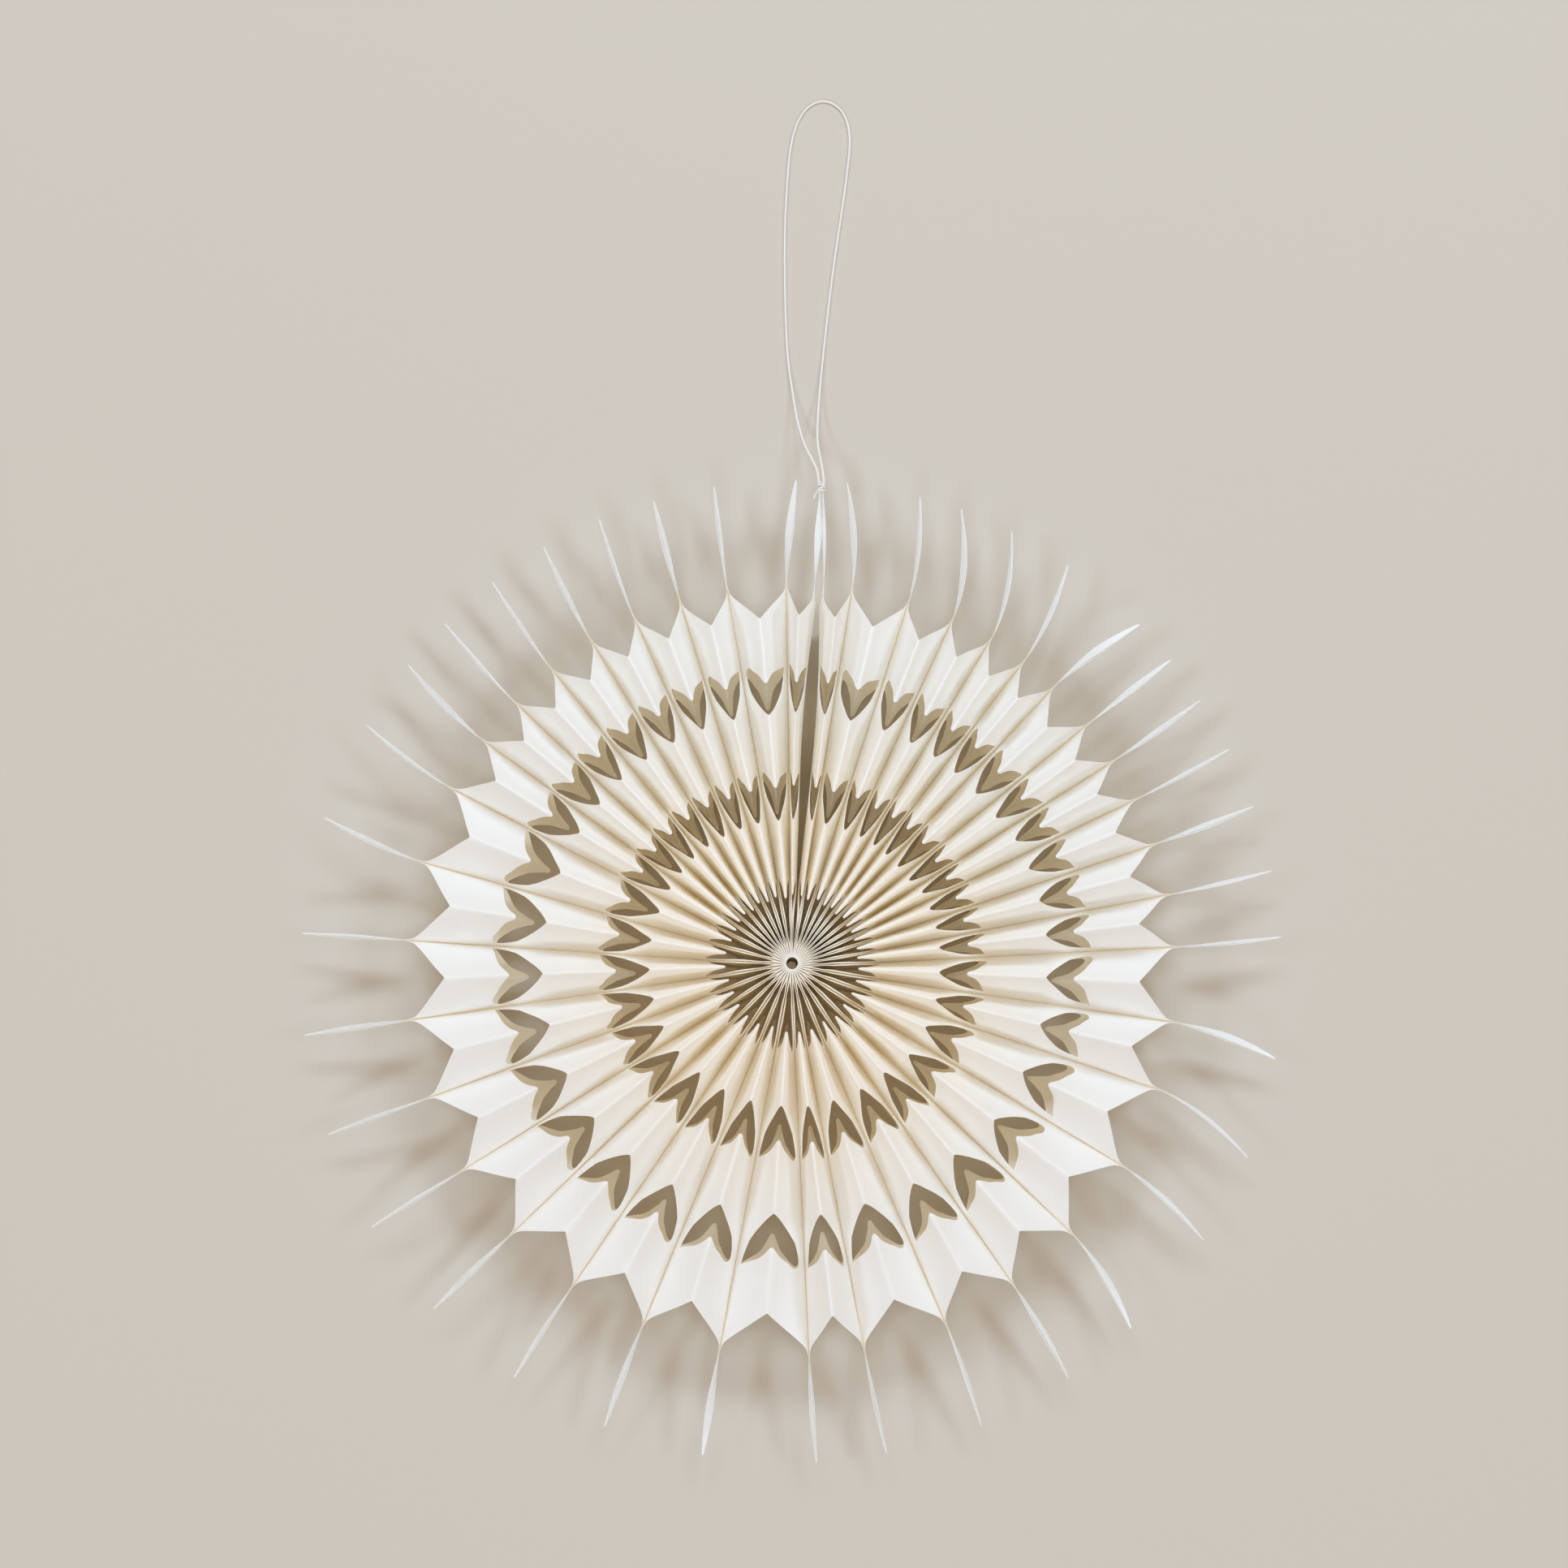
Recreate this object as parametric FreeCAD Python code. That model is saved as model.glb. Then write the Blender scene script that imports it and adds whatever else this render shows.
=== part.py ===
import FreeCAD, Part
import math
import os

# A hanging snowflake of folded paper, lying on its back.
#
# It is a ring of flat paper tubes, the leaves. Each leaf has a front fold, a back fold and two sides,
# and is glued to the next leaf along a line half way between the folds. Opened like a fan, the glued
# lines become valleys and the folds become ridges. One pair of sides is left unglued: the seam, whose
# two whiskers are tied together by the thread that the snowflake hangs from.
#
# Millimetres and degrees. The axis of the snowflake is Z, its front faces +Z and its back rests on
# the plane z = 0. Azimuths are measured clockwise from +Y, as seen from the front.

Vector = FreeCAD.Vector
UP = Vector(0, 0, 1)

# ---- Paper and glue ----
PAPER = 0.16             # thickness of one sheet
GLUE_FILM = 0.03         # glue between two leaves
LEAF_DEPTH = 42.0        # from front fold to back fold of a leaf pressed flat
GLUE_STRIP = 2.4         # width of the glued line

# ---- The rosette ----
DISH = 7.0               # how far the leaves lean back from the front of the hub
HUB_STRAIGHT = 30.0      # the paper stands upright at the hub and has its full lean from here on
SEAM_AZIMUTH = 4.1
SEAM_GAPE = 5.0          # widest gap at the unglued seam
TIED_GAP = 0.3           # gap left there at the tied tips
# Leaves in clockwise order from the seam: how many, and how far their sides slant at the rim. The
# slants are eased together until the ring closes, which they do almost as they are.
LEAF_SLANTS = [(1, 20.2), (1, 37.4), (1, 29.4), (1, 26.7), (2, 24.3), (1, 31.7),
               (2, 27.6), (1, 30.4), (2, 33.0), (1, 51.0), (1, 45.2), (2, 60.6),
               (2, 53.0), (1, 61.0), (1, 34.6), (1, 66.6), (9, 55.5), (1, 36.6),
               (2, 31.0), (4, 30.5), (1, 38.4), (1, 19.8)]
EASING_STEPS = 60

# ---- Outline that is cut through every leaf, as distances from the axis along the paper ----
RING_PITCH = 43.7        # from one ring of heart-shaped windows to the next
RINGS = 3
FIRST_CUSP = 24.9        # cusp of the innermost heart, on the fold
LOBE_RISE = 9.4          # how far the two lobes reach beyond the cusp
MOUTH = 13.0             # from the cusp down to the bottom of the V
V_RISE = 9.0             # from the bottom of the V to where the window is widest
PRESSED = 6.0            # the sides of a leaf are pressed together up to here
HUB_WINDOW_START = 8.0   # the innermost windows are longer and start here
RIB = 4.4                # paper left between a window and the glued line
POINT_RIB = 3.2          # paper left between the clockwise lobe, which is pointed, and the glued line
LOBE_WIDTH = 0.34        # width of the other lobe's round end, as a share of half the window
CUSP_FLARE = 0.54        # on that side the paper between the lobes is narrow up to this share of
FLARE_WIDTH = 0.6        # their height, where it is this share of its full width, then it flares out
BLUNT = 0.3              # width of the cut's corners across a fold
NOTCH_BEYOND = 27.1      # from the last cusp to the bottom of the notch between two whiskers
NOTCH_RISE = 15.5        # from there to where the notch reaches the glued line
NECK_RUN = 3.0           # from there to the whisker's neck, where it is narrowest
WHISKER_LENGTH = 43.6    # from the neck to the tip
WHISKER_WIDTH = 4.6      # at its widest
WIDEST_RUN = 22.0        # from the neck to where that is
TIP_WIDTH = 0.7
TIP_TAPER = 1.2          # above 1, the whisker keeps its width longer before it narrows
BEND_POWER = 1.5         # above 1, the whisker bends and twists more towards its tip
NECK_SHARE = 1.6         # sheet thicknesses of the folded sides that are left beside the strip
# Whiskers in clockwise order from the seam: how many, how far the tip sways clockwise, and how far
# the whisker is twisted on its way to the tip.
WHISKER_BENDS = [(2, -2.5, 20), (2, -4.5, 12), (1, -2.7, 25), (1, 2.3, 78), (1, 0.3, 50), (5, -0.5, 18),
                 (1, 2.5, 70), (1, 4.2, 30), (1, 2.5, 25), (1, 3.2, 75), (2, 0.9, 20), (2, -0.3, 15),
                 (1, -0.3, 65), (2, -0.4, 25), (5, 0.0, 16), (3, 1.9, 22), (4, 1.0, 18), (2, 0.5, 30),
                 (1, 1.3, 55)]
SEAM_SWAY = -0.6

# ---- Hanging thread ----
THREAD = 1.0             # thickness of the thread
KNOT_LENGTH = 4.0
KNOT_WIDTH = 3.6
KNOT_ROUND = 0.25
KNOT_CLEARANCE = 0.05    # between the knot and the two tips inside it
KNOT_FROM_TIP = 0.8      # paper that sticks out of the knot
EXIT_RUN = 4.5           # how far the two strands go straight on where they leave the knot
# Where the thread's loop runs between the two exits: along X and along Y from the knot's outer end,
# and how high the thread's underside is above z = 0, on which most of the loop lies.
LOOP_ROUTE = [(-3.8, 10.7, 9.1), (-7.3, 18.1, 5.9), (-9.9, 28.1, 2.7), (-11.9, 40.6, 0.6),
              (-13.9, 54.8, 0), (-14.7, 71.2, 0), (-15.1, 91.5, 0), (-15.0, 111.2, 0),
              (-14.0, 130.0, 0), (-12.8, 143.7, 0), (-10.3, 153.8, 0), (-6.2, 160.8, 0),
              (0.2, 164.2, 0), (6.9, 162.1, 0), (11.1, 155.9, 0), (12.5, 146.8, 0),
              (11.2, 134.1, 0), (8.9, 117.3, 0), (5.9, 97.5, 0), (3.2, 76.6, 0),
              (1.2, 58.0, 0), (-0.5, 41.1, 0.6), (-1.4, 28.1, 2.7), (-1.6, 17.1, 5.9)]
ARC_SHARE = 0.45         # of the shorter run, taken up by the arc at a corner

# ---- Sizes that follow from those above ----
LEAVES = sum(count for count, _ in LEAF_SLANTS)
HALF_DEPTH = LEAF_DEPTH / 2
HALF_STRIP = GLUE_STRIP / 2
PANEL = HALF_DEPTH - HALF_STRIP                         # from a fold to the glued strip
HALF_FILM = GLUE_FILM / 2
HUB_RADIUS = LEAVES * (PAPER + HALF_FILM) / math.pi     # the stacked sheets fill this circle
WINDOW_SIDE = 1 - RIB / HALF_DEPTH                      # as a share of the way from fold to glue
POINT_SIDE = 1 - POINT_RIB / HALF_DEPTH                 # the same for the pointed lobe's end
CUSPS = [FIRST_CUSP + ring * RING_PITCH for ring in range(RINGS)]
PLAIN_BANDS = [cusp + (RING_PITCH + LOBE_RISE - MOUTH) / 2 for cusp in CUSPS]   # between two windows
NOTCH = CUSPS[-1] + NOTCH_BEYOND
WHISKER_BASE = NOTCH + NOTCH_RISE
NECK = WHISKER_BASE + NECK_RUN
WHISKER_TIP = NECK + WHISKER_LENGTH
WHISKER_WIDEST = NECK + WIDEST_RUN
STATIONS = [HUB_RADIUS, PRESSED] + PLAIN_BANDS + [NECK]  # where a leaf's section is worked out
EXIT_SPACING = KNOT_WIDTH - 2 * KNOT_ROUND - THREAD     # both strands leave from the knot's flat end
WHISKER_STEPS = 6
BEYOND = 2 * LEAF_DEPTH                                 # reaches past the paper on both sides


# ---------------------------------------------------------------- lines and directions
def spread(runs):
    """List one entry for each leaf or whisker from runs of (how many, values...)."""
    return [values for count, *values in runs for _ in range(count)]


def heading(azimuth):
    """Horizontal direction of an azimuth."""
    angle = math.radians(azimuth)
    return Vector(math.sin(angle), math.cos(angle), 0)


def opening(slant, ease):
    """How far a leaf opens, in degrees, when the slant of its sides at the neck is eased. An eased
    slant stays below 90 degrees, at which the leaf would be flat and could open no further."""
    eased = 2 * math.atan(ease * math.tan(math.radians(slant) / 2))
    return 2 * math.degrees(math.asin(PANEL * math.sin(eased) / NECK))


def openings():
    """How far each leaf opens when all are eased together so that the ring closes."""
    slants = [values[0] for values in spread(LEAF_SLANTS)]
    low = 0
    high = 1 / math.tan(math.radians(max(slants)) / 2)
    for _ in range(EASING_STEPS):
        ease = (low + high) / 2
        if sum(opening(slant, ease) for slant in slants) < 360:
            low = ease
        else:
            high = ease
    return [opening(slant, ease) for slant in slants]


def rim_azimuths():
    """Azimuth of each glued line at the rim; the first and the last are the two sides of the seam."""
    azimuths = [SEAM_AZIMUTH]
    for degrees in openings():
        azimuths.append(azimuths[-1] + degrees)
    return azimuths


def hub_height():
    """Height of the middle of the hub, from which the narrowest leaf's back fold meets z = 0."""
    spacing = NOTCH * math.radians(min(openings()) / 2)
    fold = HALF_STRIP + math.sqrt(PANEL ** 2 - spacing ** 2)
    lean = math.radians(DISH)
    return NOTCH * math.sin(lean) + fold * math.cos(lean)


class GluedLine:
    """Straight line down the middle of two leaves' glued sides, from the hub to the whisker's neck."""

    def __init__(self, index, rim_azimuth, side=0):
        hub = heading(SEAM_AZIMUTH + index * 360 / LEAVES) * HUB_RADIUS
        rim = heading(rim_azimuth) * NECK
        lean = math.radians(DISH)
        self.start = hub + UP * hub_height()
        self.out = (rim - hub).normalize()
        self.along = self.out * math.cos(lean) - UP * math.sin(lean)
        self.normal = self.out * math.sin(lean) + UP * math.cos(lean)
        self.across = self.along.cross(self.normal)      # clockwise
        self.side = side                                 # +1 or -1 at the seam, and 0 elsewhere

    def gape(self, distance):
        """Half the seam's gap, which is nothing at the hub and almost nothing at the tied tips."""
        share = (distance - HUB_RADIUS) / (WHISKER_TIP - HUB_RADIUS)
        return self.side * (SEAM_GAPE / 2 * math.sin(math.pi * share) + TIED_GAP / 2 * share)

    def at(self, distance):
        """Point of the line at a distance from the axis, measured along the paper."""
        return self.start + self.along * (distance - HUB_RADIUS) + self.across * self.gape(distance)

    def upright(self, distance):
        """Direction of the glued strip's width: upright at the hub, square to the line further out."""
        share = min(1.0, distance / HUB_STRAIGHT)
        return (UP + (self.normal - UP) * share).normalize()


class Leaf:
    """The space of one leaf between two glued lines."""

    def __init__(self, left, right):
        self.left = left
        self.right = right
        self.along = (self.middle(NECK) - self.middle(HUB_RADIUS)).normalize()
        self.normal = self.width(NECK).cross(self.along).normalize()

    def middle(self, distance):
        return (self.left.at(distance) + self.right.at(distance)) / 2

    def width(self, distance):
        return self.right.at(distance) - self.left.at(distance)

    def upright(self, distance):
        share = min(1.0, distance / HUB_STRAIGHT)
        return (UP + (self.normal - UP) * share).normalize()

    def fold_height(self, distance):
        """Height of a fold above the glued lines: the leaf's side is as wide as before, but slants."""
        half = self.width(distance).Length / 2
        return HALF_STRIP + math.sqrt(PANEL ** 2 - half ** 2)

    def strip(self, line, inward, distance):
        """The two ends of a glued strip's outer face."""
        normal = self.upright(distance)
        square = inward.cross(normal)
        up = line.upright(distance)
        up = (up - square * up.dot(square)).normalize()
        face = line.at(distance) + inward * HALF_FILM
        return face + up * HALF_STRIP, face - up * HALF_STRIP

    def section(self, distance):
        """Six corners of the leaf's outside: front fold, right strip, back fold, left strip."""
        across = self.width(distance).normalize()
        rise = self.upright(distance) * self.fold_height(distance)
        front = self.middle(distance) + rise
        back = self.middle(distance) - rise
        right_top, right_bottom = self.strip(self.right, across * -1, distance)
        left_top, left_bottom = self.strip(self.left, across, distance)
        return [front, right_top, right_bottom, back, left_bottom, left_top]

    def place(self, share, distance):
        """Point between the glued lines: share is -1 at the left line, 0 on the folds, 1 at the right."""
        return self.middle(distance) + self.width(distance) * (share / 2)


# ---------------------------------------------------------------- solids
def inset(corners, amount):
    """Corners of a flat convex outline moved inward by an amount, for the inside of a paper tube."""
    centre = sum(corners, Vector()) / len(corners)
    normal = (corners[0] - centre).cross(corners[1] - centre).normalize()
    moved = []
    for before, corner, after in zip(corners[-1:] + corners, corners, corners[1:] + corners[:1]):
        first = (corner - before).normalize()
        second = (after - corner).normalize()
        first_in = normal.cross(first)
        second_in = normal.cross(second)
        bisector = first_in + second_in
        moved.append(corner + bisector * (amount * 2 / bisector.dot(bisector)))
    return moved


def outline(corners):
    return Part.Face(Part.makePolygon(corners + corners[:1]))


def skin(sections):
    """Solid through flat sections with equally many corners. A leaf's sides are warped, so each
    four-cornered stretch between two sections is made of two flat triangles."""
    faces = [outline(sections[0]), outline(sections[-1])]
    for near, far in zip(sections, sections[1:]):
        near_next = near[1:] + near[:1]
        far_next = far[1:] + far[:1]
        for corners in zip(near, near_next, far, far_next):
            faces.append(outline([corners[0], corners[1], corners[2]]))
            faces.append(outline([corners[1], corners[3], corners[2]]))
    shell = Part.makeShell(faces)
    shell.sewShape()
    solid = Part.makeSolid(shell)
    if solid.Volume < 0:
        solid.reverse()
    return solid


def tube(leaf):
    """The leaf's paper before anything is cut out of it, solid where its sides are pressed together."""
    outside = skin([leaf.section(distance) for distance in STATIONS])
    hollow = [inset(leaf.section(distance), PAPER) for distance in STATIONS[1:]]
    beyond = [corner + leaf.along for corner in hollow[-1]]
    return outside.cut(skin(hollow + [beyond]))


def punch(leaf, edges, lean_distance):
    """Prism through the whole leaf, square to it, with an outline given as functions of flat points."""
    normal = leaf.upright(lean_distance)
    base = leaf.middle(lean_distance) - normal * BEYOND

    def flat(point):
        place = leaf.place(*point)
        return place - normal * (place - base).dot(normal)

    pieces = []
    for points in edges:
        ends = [flat(point) for point in points]
        if len(ends) == 3:
            pieces.append(Part.Arc(*ends).toShape())
        else:
            pieces.append(Part.makeLine(*ends))
    face = Part.Face(Part.Wire(pieces))
    return face.extrude(normal * (2 * BEYOND))


def closed(right, left):
    """The outline with the edges of its right side, the mirror image of the edges given for its left,
    and a short straight across the fold at each end, because a cut has no perfectly sharp corner."""
    left = [[(-share, distance) for share, distance in reversed(points)] for points in reversed(left)]
    across_end = [right[-1][-1], left[0][0]]
    across_start = [left[-1][-1], right[0][0]]
    return right + [across_end] + left + [across_start]


def blunt(leaf, distance):
    """Half the width of such a straight, as a share of the way from the fold to the glued line."""
    return BLUNT / leaf.width(distance).Length


def heart(leaf, cusp):
    """Window through both folds: a V towards the hub, straight sides, then a pointed lobe on the right
    and a round one on the left, with a cusp between them."""
    bottom = HUB_WINDOW_START if cusp == FIRST_CUSP else cusp - MOUTH
    top = cusp + LOBE_RISE
    side = WINDOW_SIDE
    inner = side * (1 - LOBE_WIDTH)
    shoulder = top - (side - inner) / 2 * leaf.width(top).Length / 2
    mouth = [(blunt(leaf, bottom), bottom), (side, bottom + V_RISE)]
    pointed = [mouth, [mouth[-1], (POINT_SIDE, top)], [(POINT_SIDE, top), (blunt(leaf, cusp), cusp)]]
    rounded = [mouth, [mouth[-1], (side, shoulder)],
               [(side, shoulder), ((side + inner) / 2, top), (inner, shoulder)],
               [(inner, shoulder), (inner * FLARE_WIDTH, cusp + LOBE_RISE * CUSP_FLARE),
                (blunt(leaf, cusp), cusp)]]
    return punch(leaf, closed(pointed, rounded), (bottom + cusp) / 2)


def notch(leaf):
    """Everything outside the line from the fold's end to the whiskers, which start from the strips."""
    end = NECK + PAPER
    strip = 1 - NECK_SHARE * PAPER / (leaf.width(end).Length / 2)
    edges = [[(blunt(leaf, NOTCH), NOTCH), (strip, WHISKER_BASE)],
             [(strip, WHISKER_BASE), (strip, end)]]
    return punch(leaf, closed(edges, edges), NOTCH)


def whisker_half_width(distance):
    """Leaf-shaped: as wide as the glued strip at the neck, then wider, then a narrow tip."""
    if distance < WHISKER_WIDEST:
        swell = math.sin(math.pi / 2 * (distance - NECK) / (WHISKER_WIDEST - NECK))
        return (GLUE_STRIP + (WHISKER_WIDTH - GLUE_STRIP) * swell) / 2
    fall = (distance - WHISKER_WIDEST) / (WHISKER_TIP - WHISKER_WIDEST)
    return (WHISKER_WIDTH + (TIP_WIDTH - WHISKER_WIDTH) * fall ** TIP_TAPER) / 2


def whisker_middle(line, distance, sway):
    """Middle of a whisker, which goes on from the glued line and sways more and more."""
    share = (distance - NECK) / (WHISKER_TIP - NECK)
    return line.at(distance) + line.across * (distance * math.radians(sway) * share ** BEND_POWER)


def whisker(leaf, line, layer, bend):
    """The leaf's layer of a whisker: +1 is the layer on its left line, -1 the one on its right line."""
    sway, twist = bend
    outside = leaf.section(NECK)
    inside = inset(outside, PAPER)
    top, bottom = (5, 4) if layer > 0 else (1, 2)
    sections = [[outside[top], inside[top], inside[bottom], outside[bottom]]]
    for step in range(1, WHISKER_STEPS + 1):
        share = step / WHISKER_STEPS
        distance = NECK + (WHISKER_TIP - NECK) * share
        middle = whisker_middle(line, distance, sway)
        turn = math.radians(twist) * share ** BEND_POWER
        half = line.normal * math.cos(turn) + line.across * math.sin(turn)
        half *= whisker_half_width(distance)
        square = line.across * math.cos(turn) - line.normal * math.sin(turn)
        glued = middle + square * (layer * HALF_FILM)
        free = glued + square * (layer * PAPER)
        sections.append([glued + half, free + half, free - half, glued - half])
    return skin(sections)


def paper_leaf(leaf, left_bend, right_bend):
    """One leaf: a die-cut paper tube with its own layer of the whisker on each side."""
    paper = tube(leaf)
    paper = paper.cut([heart(leaf, cusp) for cusp in CUSPS] + [notch(leaf)])
    layers = [whisker(leaf, leaf.left, 1, left_bend), whisker(leaf, leaf.right, -1, right_bend)]
    paper = paper.fuse(layers)
    return paper.Solids[0] if len(paper.Solids) == 1 else paper


class Knot:
    """The thread's knot round the two whisker tips at the seam."""

    def __init__(self, left, right):
        self.left = left
        self.right = right
        self.start = WHISKER_TIP - KNOT_FROM_TIP - KNOT_LENGTH
        self.axis = (self.middle(WHISKER_TIP) - self.middle(self.start)).normalize()
        self.across = self.axis.cross(left.normal).normalize()
        self.end = self.middle(self.start) + self.axis * KNOT_LENGTH

    def middle(self, distance):
        left = whisker_middle(self.left, distance, SEAM_SWAY)
        right = whisker_middle(self.right, distance, SEAM_SWAY)
        return (left + right) / 2

    def hole(self, distance):
        """Corners of the hole that both tips pass through."""
        gap = (self.left.at(distance) - self.right.at(distance)).Length / 2
        aside = self.across * (gap + HALF_FILM + PAPER + KNOT_CLEARANCE)
        rise = self.left.normal * (whisker_half_width(distance) + KNOT_CLEARANCE)
        middle = self.middle(distance)
        return [middle + aside + rise, middle - aside + rise,
                middle - aside - rise, middle + aside - rise]

    def solid(self):
        barrel = Part.makeCylinder(KNOT_WIDTH / 2, KNOT_LENGTH, self.middle(self.start), self.axis)
        rims = [edge for edge in barrel.Edges if edge.Closed]
        barrel = barrel.makeFillet(KNOT_ROUND, rims)
        return barrel.cut(skin([self.hole(self.start - KNOT_ROUND), self.hole(WHISKER_TIP)]))

    def exit(self, side):
        """Where a strand of the thread leaves the knot, on the left (-1) or the right (+1)."""
        return self.end + self.across * (side * EXIT_SPACING / 2)


# ---------------------------------------------------------------- cord
def cord(points, diameter):
    """Tube along straight runs joined by arcs that touch both runs."""
    pieces = []
    radii = []
    last = points[0]
    for before, corner, after in zip(points, points[1:], points[2:]):
        back = (before - corner).normalize()
        forth = (after - corner).normalize()
        half_turn = (math.pi - back.getAngle(forth)) / 2
        reach = ARC_SHARE * min((before - corner).Length, (after - corner).Length)
        radius = reach / math.tan(half_turn)
        radii.append(radius)
        centre = corner + (back + forth).normalize() * (radius / math.cos(half_turn))
        nearest = centre + (corner - centre).normalize() * radius
        pieces.append(Part.makeLine(last, corner + back * reach))
        pieces.append(Part.Arc(corner + back * reach, nearest, corner + forth * reach).toShape())
        last = corner + forth * reach
    pieces.append(Part.makeLine(last, points[-1]))
    path = Part.Wire(pieces)
    start = Part.Wire(Part.makeCircle(diameter / 2, points[0], points[1] - points[0]))
    solid = path.makePipeShell([start], True, True)
    area = math.pi * (diameter / 2) ** 2
    print("thread: length %.1f, volume over section x length %.4f" %
          (path.Length, solid.Volume / (area * path.Length)))
    print("thread: arc radii %.1f to %.1f, %s" %
          (min(radii), max(radii), " ".join("%.0f" % radius for radius in radii)))
    return solid


# ---------------------------------------------------------------- the object
def save(shape, name):
    print(name, shape.ShapeType, shape.isValid(), len(shape.Solids), "solid", round(shape.Volume, 2))
    shape.exportStep(os.path.join("parts", name + ".step"))


def main():
    os.makedirs("parts", exist_ok=True)
    azimuths = rim_azimuths()
    lines = [GluedLine(index, azimuth) for index, azimuth in enumerate(azimuths)]
    lines[0] = GluedLine(0, azimuths[0], 1)
    lines[-1] = GluedLine(LEAVES, azimuths[-1], -1)
    seam_bend = [SEAM_SWAY, 0]
    bends = [seam_bend] + spread(WHISKER_BENDS) + [seam_bend]
    for number in range(LEAVES):
        leaf = Leaf(lines[number], lines[number + 1])
        save(paper_leaf(leaf, bends[number], bends[number + 1]), "leaf_%02d" % (number + 1))
    knot = Knot(lines[0], lines[-1])
    save(knot.solid(), "loop_knot")
    straight_on = knot.axis * EXIT_RUN
    route = [knot.exit(-1), knot.exit(-1) + straight_on]
    for aside, away, height in LOOP_ROUTE:
        route.append(Vector(knot.end.x + aside, knot.end.y + away, height + THREAD / 2))
    route += [knot.exit(1) + straight_on, knot.exit(1)]
    save(cord(route, THREAD), "hanging_loop")


main()
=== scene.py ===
import math
import random

import bpy
import numpy as np
from mathutils import Matrix, Vector
from mathutils.geometry import delaunay_2d_cdt


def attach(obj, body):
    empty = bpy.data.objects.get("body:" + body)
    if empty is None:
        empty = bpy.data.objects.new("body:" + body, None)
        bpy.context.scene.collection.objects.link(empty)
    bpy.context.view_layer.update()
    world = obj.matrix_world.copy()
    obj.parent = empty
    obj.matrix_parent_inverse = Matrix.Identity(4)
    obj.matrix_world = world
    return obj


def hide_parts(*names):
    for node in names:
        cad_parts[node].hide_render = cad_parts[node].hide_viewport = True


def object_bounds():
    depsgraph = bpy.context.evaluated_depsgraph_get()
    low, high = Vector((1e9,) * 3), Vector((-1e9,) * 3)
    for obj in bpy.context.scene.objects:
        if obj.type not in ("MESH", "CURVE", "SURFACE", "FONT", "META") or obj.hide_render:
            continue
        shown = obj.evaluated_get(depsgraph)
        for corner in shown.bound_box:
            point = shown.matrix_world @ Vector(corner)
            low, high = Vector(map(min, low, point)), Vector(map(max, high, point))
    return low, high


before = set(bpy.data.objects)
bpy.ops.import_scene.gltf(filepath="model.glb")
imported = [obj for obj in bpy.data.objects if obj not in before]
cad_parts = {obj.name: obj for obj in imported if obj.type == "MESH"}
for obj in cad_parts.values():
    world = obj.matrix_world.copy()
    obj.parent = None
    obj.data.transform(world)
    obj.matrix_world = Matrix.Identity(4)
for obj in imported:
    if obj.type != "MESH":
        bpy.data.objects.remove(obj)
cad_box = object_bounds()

# A folded paper snowflake lying on its back, seen from above. Sizes are the CAD model's, in
# millimetres and degrees, and turn into metres where an object is made. Azimuths are clockwise from
# +Y. A leaf's side sheet is described flat: `w` runs round it from the front fold to the back fold
# and `r` is the distance from the axis along the paper.

MM = 0.001
UP = np.array([0.0, 0.0, 1.0])

# ---- sizes shared with the CAD model ----
PAPER = 0.16
GLUE_FILM = 0.03
LEAF_DEPTH = 42.0
GLUE_STRIP = 2.4
DISH = 7.0
HUB_STRAIGHT = 30.0
SEAM_AZIMUTH = 4.1
SEAM_GAPE = 5.0
TIED_GAP = 0.3
LEAF_SLANTS = [(1, 20.2), (1, 37.4), (1, 29.4), (1, 26.7), (2, 24.3), (1, 31.7),
               (2, 27.6), (1, 30.4), (2, 33.0), (1, 51.0), (1, 45.2), (2, 60.6),
               (2, 53.0), (1, 61.0), (1, 34.6), (1, 66.6), (9, 55.5), (1, 36.6),
               (2, 31.0), (4, 30.5), (1, 38.4), (1, 19.8)]
RING_PITCH = 43.7
RINGS = 3
FIRST_CUSP = 24.9
LOBE_RISE = 9.4
HUB_WINDOW_START = 8.0
NOTCH_BEYOND = 27.1
NOTCH_RISE = 15.5
NECK_RUN = 3.0
WHISKER_LENGTH = 43.6
WHISKER_WIDTH = 4.6
WIDEST_RUN = 22.0
TIP_WIDTH = 0.7
TIP_TAPER = 1.2
BEND_POWER = 1.5
WHISKER_BENDS = [(2, -2.5, 20), (2, -4.5, 12), (1, -2.7, 25), (1, 2.3, 78), (1, 0.3, 50), (5, -0.5, 18),
                 (1, 2.5, 70), (1, 4.2, 30), (1, 2.5, 25), (1, 3.2, 75), (2, 0.9, 20), (2, -0.3, 15),
                 (1, -0.3, 65), (2, -0.4, 25), (5, 0.0, 16), (3, 1.9, 22), (4, 1.0, 18), (2, 0.5, 30),
                 (1, 1.3, 55)]
SEAM_SWAY = -0.6
THREAD = 1.0
KNOT_LENGTH = 4.0
KNOT_WIDTH = 3.6
KNOT_ROUND = 0.25
KNOT_FROM_TIP = 0.8
EXIT_RUN = 4.5
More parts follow.
